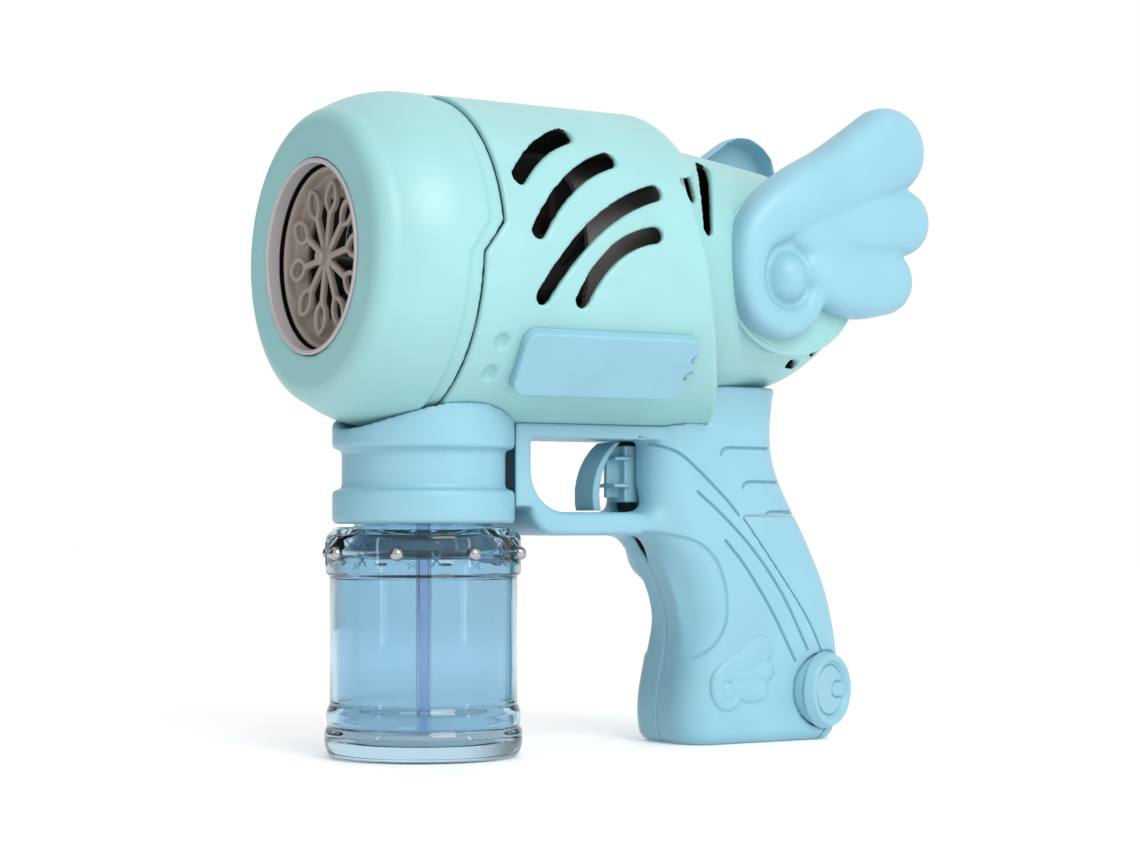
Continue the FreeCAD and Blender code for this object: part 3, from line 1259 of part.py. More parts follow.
def trigger_works():
    """Return spring and switch behind the trigger's stem."""
    back = S.GripFrontTop.value - 6.0 + 3.6 + 8.0
    middle = (S.GuardFloor.value + S.GuardCeiling.value) / 2
    length = 9.4
    seat_front = back + length + 0.7
    helix = Part.makeHelix(length / 5, length, 2.2)
    start = Vector(2.2, 0, 0)
    section = Part.Wire(Part.makeCircle(0.3, start, Vector(0, 1, 0)))
    coil = Part.Wire(helix.Edges).makePipeShell([section], True, True)
    coil.rotate(Vector(0, 0, 0), Vector(1, 0, 0), -90)
    coil.translate(Vector(0, back + 0.35, middle + 5.2))
    node("trigger_spring", feature("TriggerSpring", coil))
    case_front = back + S.TriggerTravel.value + 1.6
    case = Part.makeBox(6.0, seat_front - case_front, 9.0, Vector(-3.0, case_front, middle - 9.0))
    plunger = Part.makeCylinder(1.0, 1.2, Vector(0, case_front - 1.2, middle - 4.5),
                                Vector(0, 1, 0))
    width = 2 * (S.GripHalf.value - S.GripWall.value) - 0.1
    wall = Part.makeBox(width, 1.6, 18.6, Vector(-width / 2, seat_front, middle - 7.6))
    node("trigger_switch", feature("TriggerSwitch", case.fuse(plunger)))
    node("spring_seat", feature("SpringSeat", wall))


# ---------------------------------------------------------------- batteries

def cell_places():
    """Centres of the three cells: two side by side and one nested against them."""
    return [(-S.CellOffset, S.HolderY - S.CellSpread), (-S.CellOffset, S.HolderY + S.CellSpread),
            (S.CellOffset, S.HolderY)]


def batteries():
    """Holder, cells with their raised terminals, and contact plates."""
    deck = 1.5
    contact = 0.6
    floor = S.HolderBottom + deck
    half = S.GripHalf - S.GripWall - 0.4
    depth = 2 * (S.CellSpread + S.CellRadius) + 1.0
    total = S.CellLength + 2 * contact + 2 * deck + 0.4
    frame = block("HolderBlank", (2 * half, depth, total), (-half, S.HolderY - depth / 2,
                                                             S.HolderBottom))
    bores = []
    for index, (x, y) in enumerate(cell_places()):
        bores.append(rod(f"HolderBore{index}", S.CellRadius + 0.15, total - 2 * deck,
                         (x, y, floor), "Z"))
    core = cut("HolderCut", frame, bores)
    room = feature("HolderRoom", grip_solid(S.GripWall.value + 0.4))
    node("battery_holder", common("BatteryHolder", core, room))
    plates = []
    for index, (x, y) in enumerate(cell_places()):
        body = rod(f"CellBody{index}", S.CellRadius, S.CellLength - 1.2,
                   (x, y, floor + contact + 0.2), "Z")
        tip = rod(f"CellTip{index}", 2.7, S.CellLength, (x, y, floor + contact + 0.2), "Z")
        node(f"battery_cell_{index + 1}", fuse(f"Cell{index}", [body, tip]))
        plates.append(block(f"ContactLow{index}", (7, 7, contact), (x - 3.5, y - 3.5, floor)))
        plates.append(block(f"ContactHigh{index}", (7, 7, contact),
                            (x - 3.5, y - 3.5, floor + total - 2 * deck - contact)))
    node("battery_contacts", fuse("BatteryContacts", plates))


# ---------------------------------------------------------------- assembly

def check_and_write():
    """Stop on any failed object or shape, then write one file per sub-part."""
    doc.recompute()
    for item in doc.Objects:
        states = set(item.State)
        if states & {"Invalid", "Error"}:
            users = [user.Name for user in item.InList]
            raise RuntimeError(f"{item.Name} ({item.Label}, used by {users}) failed: {item.State}")
    labels = [item.Label for item in nodes]
    if len(set(labels)) != len(labels):
        raise RuntimeError("two sub-parts share a name")
    for item in nodes:
        if item.Shape.isNull() or not item.Shape.isValid() or not item.Shape.Solids:
            raise RuntimeError(f"{item.Label} has no valid solid")
    os.makedirs("parts", exist_ok=True)
    for item in nodes:
        item.Shape.exportStep(f"parts/{item.Label}.step")
        box = item.Shape.BoundBox
        print(f"{item.Label:18s} {len(item.Shape.Solids):2d} solids {item.Shape.Volume:9.1f} mm3"
              f"  x {box.XMin:.1f}..{box.XMax:.1f}  y {box.YMin:.1f}..{box.YMax:.1f}"
              f"  z {box.ZMin:.1f}..{box.ZMax:.1f}")


front_cowl()
mid_shells()
rear_shells()
wings()
wing_screws()
side_plates()
nozzle_ring()
solution_tray()
bubble_wheel()
drive_train()
fan()
bottle_collar()
bottle()
bottle_studs()
bottle_washer()
dip_tube()
grip_pieces()
lock_knob()
trigger()
trigger_works()
batteries()
check_and_write()
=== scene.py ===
"""Visible pieces of a hand-held bubble blower with wings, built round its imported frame."""

import json
import math

import bmesh
import bpy
import numpy as np
from bpy.props import FloatProperty, FloatVectorProperty, PointerProperty
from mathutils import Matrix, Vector
from mathutils.bvhtree import BVHTree


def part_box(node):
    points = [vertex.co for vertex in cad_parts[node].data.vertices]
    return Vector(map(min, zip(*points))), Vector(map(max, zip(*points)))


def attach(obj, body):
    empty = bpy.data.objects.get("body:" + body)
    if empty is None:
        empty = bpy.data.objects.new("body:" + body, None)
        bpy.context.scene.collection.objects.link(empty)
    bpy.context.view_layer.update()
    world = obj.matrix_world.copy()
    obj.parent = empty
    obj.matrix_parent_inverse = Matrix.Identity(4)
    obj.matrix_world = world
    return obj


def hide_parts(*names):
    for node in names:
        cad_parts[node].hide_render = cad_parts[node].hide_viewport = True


bl_info = {
    "name": "Winged Bubble Blower",
    "version": (1, 0, 0),
    "blender": (4, 5, 0),
    "location": "3D View > Sidebar > Bubble Blower",
    "description": "Moulded shells, wings, bottle and grip of a hand-held bubble blower",
    "category": "Add Mesh",
}

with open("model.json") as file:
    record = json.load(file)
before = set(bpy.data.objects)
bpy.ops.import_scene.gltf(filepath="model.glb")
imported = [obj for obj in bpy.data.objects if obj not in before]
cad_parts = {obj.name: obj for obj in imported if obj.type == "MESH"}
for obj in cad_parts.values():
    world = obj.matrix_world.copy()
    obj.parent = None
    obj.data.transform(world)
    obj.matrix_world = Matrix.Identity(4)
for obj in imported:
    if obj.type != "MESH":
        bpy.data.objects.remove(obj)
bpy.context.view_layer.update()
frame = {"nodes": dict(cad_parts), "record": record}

MM = 0.001
BARREL_AXIS = (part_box("wheel_gear")[0].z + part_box("wheel_gear")[1].z) / 2 / MM
BARREL_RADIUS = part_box("front_cowl")[1].x / MM
SIDES = (("left", 1.0), ("right", -1.0))
PLATE_ANGLE = math.radians(127.5)


# ---------------------------------------------------------------- settings

def colour(name, description, value):
    """A colour the user may change."""
    return FloatVectorProperty(name=name, description=description, subtype="COLOR", size=3,
                               min=0.0, max=1.0, default=value)


def length(name, description, value):
    """A length in metres the user may change."""
    return FloatProperty(name=name, description=description, default=value, unit="LENGTH",
                         subtype="DISTANCE", precision=5)


class BlowerFinish(bpy.types.PropertyGroup):
    """Colours and surface of the blower's plastics."""

    mint: colour("Mint", "Barrel shells", (0.265, 0.515, 0.52))
    blue: colour("Blue", "Grip, wings, collar and side plates", (0.225, 0.45, 0.55))
    ring: colour("Ring", "Nozzle ring", (0.42, 0.40, 0.41))
    wheel: colour("Wheel", "Bubble wheel and tray", (0.30, 0.255, 0.22))
    # Painted shade: near-black colour for the barrel's inner faces, standing in for the shade inside
    # the shells.
    inside: colour("Inside", "Unlit inside of the barrel", (0.06, 0.055, 0.055))
    bottle: colour("Bottle", "Tint of the clear bottle", (0.49, 0.70, 0.82))
    roughness: FloatProperty(name="Roughness", description="Satin of the moulded plastic",
                             default=0.42, min=0.05, max=1.0)
    grain: FloatProperty(name="Grain", description="Depth of the moulded surface's fine grain",
                         default=0.12, min=0.0, max=1.0)


class BlowerShape(bpy.types.PropertyGroup):
    """Sizes of the moulded detail."""

    shell_cell: length("Shell cell", "Mesh size of the barrel shells", 0.0006)
    grip_cell: length("Grip cell", "Mesh size of the grip", 0.00055)
    small_cell: length("Small cell", "Mesh size of small mouldings", 0.0003)
    groove_width: length("Groove width", "Half the width of the grip's grooves", 0.0005)
    groove_depth: length("Groove depth", "Depth of the grip's grooves", 0.001)
    recess_depth: length("Recess depth", "Depth of the finger recess in the grip", 0.0044)
    wing_wall: length("Wing wall", "Wall of the hollow wings", 0.0016)
    wing_depth: length("Wing depth", "How far the wings stand out from their rim", 0.0082)


class BlowerStage(bpy.types.PropertyGroup):
    """Camera, light and floor."""

    lens: FloatProperty(name="Lens", description="Focal length", default=83.37,
                        unit="CAMERA", min=10.0)
    rise: FloatProperty(name="Rise", description="Upward shift of the view", default=0.0846)
    key_power: FloatProperty(name="Key light", description="Power of the key light", default=4.2,
                             unit="POWER", min=0.0)
    fill_power: FloatProperty(name="Fill light", description="Power of the fill light",
                              default=0.25, unit="POWER", min=0.0)
    strip_power: FloatProperty(name="Strip lights", default=0.4, unit="POWER", min=0.0,
                               description="Power of each tall strip that the bottle mirrors")
    ambient: FloatProperty(name="Ambient", description="Strength of the white surround",
                           default=1.0, min=0.0)
    shade: FloatProperty(name="Shade", description="Strength of the surround's dark side",
                         default=0.1, min=0.0)


def finish():
    """The current colours."""
    return bpy.context.scene.blower_finish


def shape():
    """The current sizes."""
    return bpy.context.scene.blower_shape


# ---------------------------------------------------------------- materials

def node_tree(name):
    """New material with an empty Principled shader; returns material, tree and shader."""
    material = bpy.data.materials.new(name)
    material.use_nodes = True
    tree = material.node_tree
    return material, tree, tree.nodes["Principled BSDF"]


def grain_bump(tree, shader, scale, strength, distance):
    """Fine moulded grain on the shader's normal."""
    place = tree.nodes.new("ShaderNodeTexCoord")
    noise = tree.nodes.new("ShaderNodeTexNoise")
    noise.inputs["Scale"].default_value = scale
    noise.inputs["Detail"].default_value = 3.0
    bump = tree.nodes.new("ShaderNodeBump")
    bump.inputs["Strength"].default_value = strength
    bump.inputs["Distance"].default_value = distance
    tree.links.new(place.outputs["Object"], noise.inputs["Vector"])
    tree.links.new(noise.outputs["Fac"], bump.inputs["Height"])
    tree.links.new(bump.outputs["Normal"], shader.inputs["Normal"])
    return place


def mottled(tree, shader, place, tone, spread, scale):
    """Slight cloudiness of the colour, as pigment in moulded plastic has."""
    noise = tree.nodes.new("ShaderNodeTexNoise")
    noise.inputs["Scale"].default_value = scale
    noise.inputs["Detail"].default_value = 4.0
    ramp = tree.nodes.new("ShaderNodeValToRGB")
    ramp.color_ramp.elements[0].position = 0.3
    ramp.color_ramp.elements[1].position = 0.7
    ramp.color_ramp.elements[0].color = (*[max(0.0, c * (1 - spread)) for c in tone], 1)
    ramp.color_ramp.elements[1].color = (*[min(1.0, c * (1 + spread)) for c in tone], 1)
    tree.links.new(place.outputs["Object"], noise.inputs["Vector"])
    tree.links.new(noise.outputs["Fac"], ramp.inputs["Fac"])
    tree.links.new(ramp.outputs["Color"], shader.inputs["Base Color"])


def moulded_plastic(name, tone, roughness, grain, spread=0.035):
    """Satin injection-moulded plastic with fine grain, cloudy pigment and uneven gloss."""
    material, tree, shader = node_tree(name)
    place = grain_bump(tree, shader, 2600.0, grain, 0.0002)
    mottled(tree, shader, place, tone, spread, 55.0)
    gloss = tree.nodes.new("ShaderNodeTexNoise")
    gloss.inputs["Scale"].default_value = 320.0
    spread_map = tree.nodes.new("ShaderNodeMapRange")
    spread_map.inputs["To Min"].default_value = roughness - 0.05
    spread_map.inputs["To Max"].default_value = roughness + 0.05
    tree.links.new(place.outputs["Object"], gloss.inputs["Vector"])
    tree.links.new(gloss.outputs["Fac"], spread_map.inputs["Value"])
    tree.links.new(spread_map.outputs["Result"], shader.inputs["Roughness"])
    shader.inputs["Coat Weight"].default_value = 0.12
    shader.inputs["Coat Roughness"].default_value = 0.35
    material.diffuse_color = (*tone, 1)
    return material


def metal(name, tone, roughness, scale, strength):
    """Plated or drawn metal with fine streaks."""
    material, tree, shader = node_tree(name)
    place = grain_bump(tree, shader, scale, strength, 0.0001)
    mottled(tree, shader, place, tone, 0.08, scale / 8)
    shader.inputs["Metallic"].default_value = 1.0
    shader.inputs["Roughness"].default_value = roughness
    return material


def clear_plastic(name, tone, roughness, grain):
    """Clear tinted plastic with slightly wavy walls."""
    material, tree, shader = node_tree(name)
    grain_bump(tree, shader, 60.0, grain, 0.0003)
    shader.inputs["Base Color"].default_value = (*tone, 1)
    shader.inputs["Roughness"].default_value = roughness
    shader.inputs["IOR"].default_value = 1.46
    shader.inputs["Transmission Weight"].default_value = 1.0
    return material


def rubber(name, tone):
    """Soft black sealing rubber."""
    return moulded_plastic(name, tone, 0.75, 0.3, 0.1)


MATERIALS = {}


def material_of(slot):
    """The Blender material that shows a slot of the record; made on first use."""
    if slot not in MATERIALS:
        look = finish()
        rough, grain = look.roughness, look.grain
        makers = {
            "mint_plastic": lambda: moulded_plastic("mint_plastic", tuple(look.mint), rough, grain),
            "blue_plastic": lambda: moulded_plastic("blue_plastic", tuple(look.blue), rough, grain),
            "grey_plastic": lambda: moulded_plastic("grey_plastic", tuple(look.ring), 0.3,
                                                    grain / 2),
            "wheel_plastic": lambda: moulded_plastic("wheel_plastic", tuple(look.wheel), 0.5,
                                                     grain, 0.08),
            "dark_plastic": lambda: moulded_plastic("dark_plastic", (0.16, 0.15, 0.15), 0.45,
                                                    grain, 0.15),
            "gear_plastic": lambda: moulded_plastic("gear_plastic", (0.72, 0.70, 0.64), 0.4, grain),
            # Painted shade: near-black plastic put on the barrel's inner faces, where only shade
            # falls.
            "inside_painted_shade": lambda: moulded_plastic("inside_painted_shade", tuple(look.inside), 0.6,
                                                      grain, 0.2),
            "washer_rubber": lambda: rubber("washer_rubber", (0.03, 0.03, 0.032)),
            "cell_wrap": lambda: moulded_plastic("cell_wrap", (0.06, 0.065, 0.08), 0.25, 0.05, 0.2),
            "screw_steel": lambda: metal("screw_steel", (0.55, 0.55, 0.57), 0.35, 900.0, 0.1),
            "stud_metal": lambda: metal("stud_metal", (0.42, 0.40, 0.42), 0.14, 500.0, 0.03),
            "spring_steel": lambda: metal("spring_steel", (0.5, 0.5, 0.52), 0.3, 1500.0, 0.15),
            "shaft_steel": lambda: metal("shaft_steel", (0.55, 0.55, 0.57), 0.3, 1200.0, 0.12),
            "motor_case": lambda: metal("motor_case", (0.45, 0.45, 0.48), 0.38, 700.0, 0.12),
            "contact_metal": lambda: metal("contact_metal", (0.65, 0.63, 0.58), 0.3, 900.0, 0.1),
            "clear_tube": lambda: clear_plastic("clear_tube", (0.80, 0.80, 0.94), 0.12, 0.15),
            "clear_bottle": lambda: clear_plastic("clear_bottle", tuple(look.bottle), 0.02, 0.05),
        }
        MATERIALS[slot] = makers[slot]()
    return MATERIALS[slot]


# ---------------------------------------------------------------- mesh helpers

def read_points(mesh):
    """Vertex places in millimetres."""
    flat = np.empty(len(mesh.vertices) * 3, np.float64)
    mesh.vertices.foreach_get("co", flat)
    return flat.reshape(-1, 3) / MM


def write_points(mesh, points):
    """Set vertex places, given in millimetres."""
    mesh.vertices.foreach_set("co", (points * MM).ravel())
    mesh.update()


def read_normals(mesh):
    """Vertex normals."""
    flat = np.empty(len(mesh.vertices) * 3, np.float64)
    mesh.vertex_normals.foreach_get("vector", flat)
    return flat.reshape(-1, 3)


def ease(value, low, high):
    """Smooth step from 0 at low to 1 at high."""
    share = np.clip((value - low) / (high - low), 0.0, 1.0)
    return share * share * (3 - 2 * share)


def mesh_from(name, points, faces):
    """Mesh from points in millimetres."""
    mesh = bpy.data.meshes.new(name)
    mesh.from_pydata([tuple(c * MM for c in point) for point in points], [], faces)
    mesh.validate()
    mesh.update()
    return mesh


def joined_cad(name, nodes):
    """One new mesh that copies these CAD nodes."""
    build = bmesh.new()
    for node in nodes:
        build.from_mesh(frame["nodes"][node].data)
    bmesh.ops.remove_doubles(build, verts=build.verts, dist=0.000002)
    mesh = bpy.data.meshes.new(name)
    build.to_mesh(mesh)
    build.free()
    return mesh


def with_modifiers(mesh, settings):
    """The mesh after a stack of modifiers, each a type and its values."""
    work = bpy.data.objects.new("work", mesh)
    bpy.context.scene.collection.objects.link(work)
    for kind, values in settings:
        modifier = work.modifiers.new(kind.title(), kind)
        for key, value in values.items():
            setattr(modifier, key, value)
    graph = bpy.context.evaluated_depsgraph_get()
    result = bpy.data.meshes.new_from_object(work.evaluated_get(graph))
    bpy.data.objects.remove(work)
    return result


def softened(mesh, cell, rounds):
    """Even mesh of the same solid, with its edges rounded a little."""
    return with_modifiers(mesh, [
        ("REMESH", {"mode": "VOXEL", "voxel_size": cell, "adaptivity": 0.0}),
        ("SMOOTH", {"factor": 0.5, "iterations": rounds})])


def refined(mesh, wanted, cuts=1):
    """Split the faces whose corners are all wanted; wanted takes points in millimetres."""
    points = read_points(mesh)
    chosen = wanted(points)
    build = bmesh.new()
    build.from_mesh(mesh)
    edges = [e for e in build.edges if chosen[e.verts[0].index] and chosen[e.verts[1].index]]
    bmesh.ops.subdivide_edges(build, edges=edges, cuts=cuts, use_grid_fill=True)
    build.to_mesh(mesh)
    build.free()
    return mesh


def make_piece(name, mesh, body, slot, stands_for=()):
    """Object for a finished mesh: the slot's material where the mesh has none, smooth shading, its
    body, and the CAD nodes it stands for hidden.
    """
    piece = bpy.data.objects.new(name, mesh)
    bpy.context.scene.collection.objects.link(piece)
    if not mesh.materials:
        mesh.materials.append(material_of(slot))
    mesh.polygons.foreach_set("use_smooth", [True] * len(mesh.polygons))
    mesh.update()
    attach(piece, body)
    if stands_for:
        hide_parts(*stands_for)
    return piece


def paint_inside_shade(mesh, outer_slot, is_inside):
    """Second material, painted shade, on the faces whose centre is_inside says are in the barrel."""
    mesh.materials.clear()
    mesh.materials.append(material_of(outer_slot))
    mesh.materials.append(material_of("inside_painted_shade"))
    centres = np.empty(len(mesh.polygons) * 3, np.float64)
    mesh.polygons.foreach_get("center", centres)
    normals = np.empty(len(mesh.polygons) * 3, np.float64)
    mesh.polygons.foreach_get("normal", normals)
    inside = is_inside(centres.reshape(-1, 3) / MM, normals.reshape(-1, 3))
    mesh.polygons.foreach_set("material_index", inside.astype(np.int32))


def faces_axis(points, normals):
    """True where a face looks at the barrel's axis rather than away from it."""
    radial = np.stack([points[:, 0], np.zeros(len(points)), points[:, 2] - BARREL_AXIS], 1)
    radial /= np.maximum(np.linalg.norm(radial, axis=1, keepdims=True), 1e-6)
    return np.einsum("ij,ij->i", radial, normals) < -0.35


def lathe(name, profile, steps):
    """Turned solid about Z from a closed or axis-to-axis profile of (radius, height)."""
    points, faces = [], []
    rings = []
    for radius, height in profile:
        if radius < 1e-6:
            rings.append([len(points)])
            points.append((0.0, 0.0, height))
            continue
        ring = []
        for step in range(steps):
            angle = 2 * math.pi * step / steps
            ring.append(len(points))
            points.append((radius * math.cos(angle), radius * math.sin(angle), height))
        rings.append(ring)
    pairs = list(zip(rings, rings[1:]))
    if len(rings[0]) > 1 and len(rings[-1]) > 1:
        pairs.append((rings[-1], rings[0]))
    for low, high in pairs:
        if len(low) == 1 and len(high) == 1:
            continue
        for step in range(steps):
            after = (step + 1) % steps
            if len(low) == 1:
                faces.append((low[0], high[after], high[step]))
            elif len(high) == 1:
                faces.append((low[step], low[after], high[0]))
            else:
                faces.append((low[step], low[after], high[after], high[step]))
    return mesh_from(name, points, faces)


def rounded_profile(corners, parts=5):
    """Profile with its corners rounded; each corner is (radius, height[, rounding])."""
    result = []
    count = len(corners)
    for index, corner in enumerate(corners):
        here = Vector(corner[:2])
        rounding = corner[2] if len(corner) > 2 else 0.0
        if rounding <= 0 or index in (0, count - 1):
            result.append(tuple(here))
            continue
        before = Vector(corners[index - 1][:2]) - here
        after = Vector(corners[index + 1][:2]) - here
        reach = min(rounding, before.length * 0.49, after.length * 0.49)
        start = here + before.normalized() * reach
        end = here + after.normalized() * reach
        for part in range(parts + 1):
            t = part / parts
            spot = start * (1 - t) ** 2 + here * 2 * t * (1 - t) + end * t * t
            result.append(tuple(spot))
    return result


def smooth_line(points, parts=10):
    """Catmull-Rom line through points of any dimension, as an array."""
    points = np.asarray(points, np.float64)
    padded = np.vstack([2 * points[0] - points[1], points, 2 * points[-1] - points[-2]])
    line = []
    for index in range(1, len(padded) - 2):
        p0, p1, p2, p3 = padded[index - 1:index + 3]
        for part in range(parts):
            t = part / parts
            line.append(0.5 * (2 * p1 + (p2 - p0) * t + (2 * p0 - 5 * p1 + 4 * p2 - p3) * t * t
                               + (3 * p1 - p0 - 3 * p2 + p3) * t ** 3))
    line.append(points[-1])
    return np.array(line)


def distance_to(line, spots):
    """Shortest distance from each 2-D spot to a line of points."""
    nearest = np.full(len(spots), 1e9)
    for start, end in zip(line, line[1:]):
        way = end - start
        t = np.clip(((spots - start) @ way) / max(way @ way, 1e-12), 0, 1)
        gap = np.linalg.norm(spots - (start + t[:, None] * way), axis=1)
        nearest = np.minimum(nearest, gap)
    return nearest


def inside_loop(loop, spots):
    """True for each 2-D spot inside a closed loop of points."""
    inside = np.zeros(len(spots), bool)
    for start, end in zip(loop, np.roll(loop, -1, axis=0)):
        crosses = (start[1] > spots[:, 1]) != (end[1] > spots[:, 1])
        span = end[1] - start[1]
        if abs(span) < 1e-12:
            continue
        at = start[0] + (spots[:, 1] - start[1]) / span * (end[0] - start[0])
        inside ^= crosses & (spots[:, 0] < at)
    return inside


# ---------------------------------------------------------------- barrel

def snap_round(mesh, low, high, target):
    """Make the faceted round part exactly round, between two places along the barrel."""
    points = read_points(mesh)
    across = points[:, 0]
    above = points[:, 2] - BARREL_AXIS
    radius = np.hypot(across, above)
    near = ((np.abs(radius - target) < 0.12) & (points[:, 1] > low) & (points[:, 1] < high))
    scale = np.where(near, target / np.maximum(radius, 1e-6), 1.0)
    points[:, 0] = across * scale
    points[:, 2] = BARREL_AXIS + above * scale
    write_points(mesh, points)


class BLOWER_OT_cowl(bpy.types.Operator):
    """Round cowl with its rolled face and the recessed band along the seam"""

    bl_idname = "blower.cowl"
    bl_label = "Cowl"

    def execute(self, context):
        mesh = softened(joined_cad("cowl", ["front_cowl"]), shape().shell_cell, 6)
        snap_round(mesh, -11.0, 0.0, BARREL_RADIUS)
        # Painted shade on the cowl's inner faces behind its face.
        paint_inside_shade(mesh, "mint_plastic", lambda at, way: faces_axis(at, way) & (at[:, 1] > -30.5))
        make_piece("cowl_moulding", mesh, "housing", "mint_plastic", ["front_cowl"])
        return {"FINISHED"}


TOP_END_START = 52.0
TOP_END_SHARE = 0.55


def draw_in_top(mesh):
    """Shorten the rear end of a shell above the barrel's shoulder, so it rounds down sooner."""
    points = read_points(mesh)
    high = ease(points[:, 2] - BARREL_AXIS, 16.0, 30.0)
    beyond = np.maximum(points[:, 1] - TOP_END_START, 0.0)
    points[:, 1] -= beyond * (1 - TOP_END_SHARE) * high
    write_points(mesh, points)


class BLOWER_OT_mid_shells(bpy.types.Operator):
    """Vented halves of the barrel behind the cowl"""

    bl_idname = "blower.mid_shells"
    bl_label = "Mid Shells"

    def execute(self, context):
        for side, _ in SIDES:
            node = f"mid_shell_{side}"
            mesh = softened(joined_cad(node, [node]), shape().shell_cell, 5)
            snap_round(mesh, -5.0, 55.0, BARREL_RADIUS)
            draw_in_top(mesh)
            # Painted shade on the shell's inner faces.
            paint_inside_shade(mesh, "mint_plastic", faces_axis)
            make_piece(f"mid_moulding_{side}", mesh, "housing", "mint_plastic", [node])
        return {"FINISHED"}


BOSS_CENTRE = (96.0, 129.0)
BOSS_RIM = 22.6
BOSS_RIM_PLACE = 31.2
BOSS_RIM_THICK = 1.0


def rim_ring(sign):
    """Round rim raised at the edge of a wing boss."""
    points, faces = [], []
    around, across = 160, 14
    for step in range(around):
        turn = 2 * math.pi * step / around
        for part in range(across):
            roll = 2 * math.pi * part / across
            reach = BOSS_RIM + BOSS_RIM_THICK * math.cos(roll)
            points.append((sign * (BOSS_RIM_PLACE + BOSS_RIM_THICK * 0.8 * math.sin(roll)),
                           BOSS_CENTRE[0] + reach * math.cos(turn),
                           BOSS_CENTRE[1] + reach * math.sin(turn)))
            faces.append((step * across + part, step * across + (part + 1) % across,
                          (step + 1) % around * across + (part + 1) % across,
                          (step + 1) % around * across + part)[::int(sign)])
    return mesh_from("boss_rim", points, faces)


class BLOWER_OT_rear_shells(bpy.types.Operator):
    """Tapered rear halves with the round wing bosses"""

    bl_idname = "blower.rear_shells"
    bl_label = "Rear Shells"

    def execute(self, context):
        for side, _ in SIDES:
            node = f"rear_shell_{side}"
            mesh = softened(joined_cad(node, [node]), shape().shell_cell, 4)
            # Painted shade on the shell's inner faces.
            paint_inside_shade(mesh, "mint_plastic", faces_axis)
            make_piece(f"rear_moulding_{side}", mesh, "housing", "mint_plastic", [node])
        for side, sign in SIDES:
            make_piece(f"boss_rim_{side}", rim_ring(sign), "housing", "mint_plastic")
        return {"FINISHED"}


PLATE_GROOVE_HALF = 0.5
PLATE_GROOVE_DEPTH = 0.8
PLATE_FEATHERS = [
    [(62.5, 5.2), (60.4, 4.9), (58.6, 3.6), (58.9, 2.4)],
    [(62.5, -0.2), (60.4, -0.5), (58.4, -1.7), (58.7, -2.9)],
]


def carve_plate(mesh):
    """Two hooked grooves that part the plate's rear end into three feather tips."""
    points = read_points(mesh)
    normals = read_normals(mesh)
    side = 1.0 if points[:, 0].mean() > 0 else -1.0
    out = np.array([side * math.sin(PLATE_ANGLE), 0.0, math.cos(PLATE_ANGLE)])
    rise = np.array([-out[2] * side, 0.0, out[0] * side])
    axis = np.array([0.0, 0.0, BARREL_AXIS])
    across = (points - axis) @ rise
    spots = np.stack([points[:, 1], across], 1)
    sunk = np.zeros(len(points))
    for path in PLATE_FEATHERS:
        gap = distance_to(smooth_line(path, 8), spots)
        sunk = np.maximum(sunk, np.clip(1 - (gap / PLATE_GROOVE_HALF) ** 2, 0, 1))
    facing = ease(normals @ out, 0.3, 0.6)
    points -= out * (PLATE_GROOVE_DEPTH * sunk * facing)[:, None]
    write_points(mesh, points)


class BLOWER_OT_side_plates(bpy.types.Operator):
    """Side plates with a scalloped rear end and a small feather relief"""

    bl_idname = "blower.side_plates"
    bl_label = "Side Plates"

    def execute(self, context):
        for side, _ in SIDES:
            node = f"side_plate_{side}"
            mesh = softened(joined_cad(node, [node]), shape().small_cell, 5)
            carve_plate(mesh)
            make_piece(f"plate_{side}", mesh, "housing", "blue_plastic", [node])
        return {"FINISHED"}


WHEEL_CELL = 0.0002


class BLOWER_OT_nozzle(bpy.types.Operator):
    """Nozzle ring, tray and bubble wheel"""

    bl_idname = "blower.nozzle"
    bl_label = "Nozzle"

    def execute(self, context):
        ring = softened(joined_cad("ring", ["nozzle_ring"]), shape().small_cell, 5)
        make_piece("nozzle_lip", ring, "housing", "grey_plastic", ["nozzle_ring"])
        tray = softened(joined_cad("tray", ["solution_tray"]), shape().small_cell, 5)
        make_piece("tray_moulding", tray, "housing", "wheel_plastic", ["solution_tray"])
        wheel = softened(joined_cad("wheel", ["bubble_wheel"]), WHEEL_CELL, 5)
        make_piece("wheel_moulding", wheel, "wheel", "wheel_plastic", ["bubble_wheel"])
        return {"FINISHED"}


# ---------------------------------------------------------------- wings

WING_PLANE = 33.0
SCROLL_CENTRE = (90.5, 126.0)
SCROLL_ARM = [(2.3, 10.2, 1.6), (8.3, 6.6, 2.5), (10.3, -0.8, 3.3), (8.0, -8.2, 3.9),
              (0.2, -12.0, 4.4), (-8.4, -8.4, 4.7), (-11.7, 1.0, 5.1), (-9.6, 10.4, 6.2),
              (-3.2, 16.2, 8.0), (6.5, 21.3, 9.6), (17.5, 26.0, 10.6), (27.5, 31.5, 11.4),
              (36.0, 36.5, 12.1)]
FEATHER_MIDDLE = [(4.0, 16.0, 6.0), (16.0, 14.6, 8.0), (28.0, 15.2, 9.2), (40.2, 17.2, 9.5)]
FEATHER_LOW = [(11.0, 3.0, 7.0), (18.0, 0.6, 9.0), (26.0, 0.0, 10.0), (34.5, 0.8, 9.4)]
WING_BODY = [(6.5, 14.5, 8.0), (13.0, 11.0, 9.0), (18.0, 8.0, 8.0)]
SCROLL_BALL = [(0.0, -0.8, 6.8), (0.0, 0.8, 6.8)]
SCROLL_FLOOR = [(0.0, 0.0, 12.0), (0.1, 0.1, 12.0)]


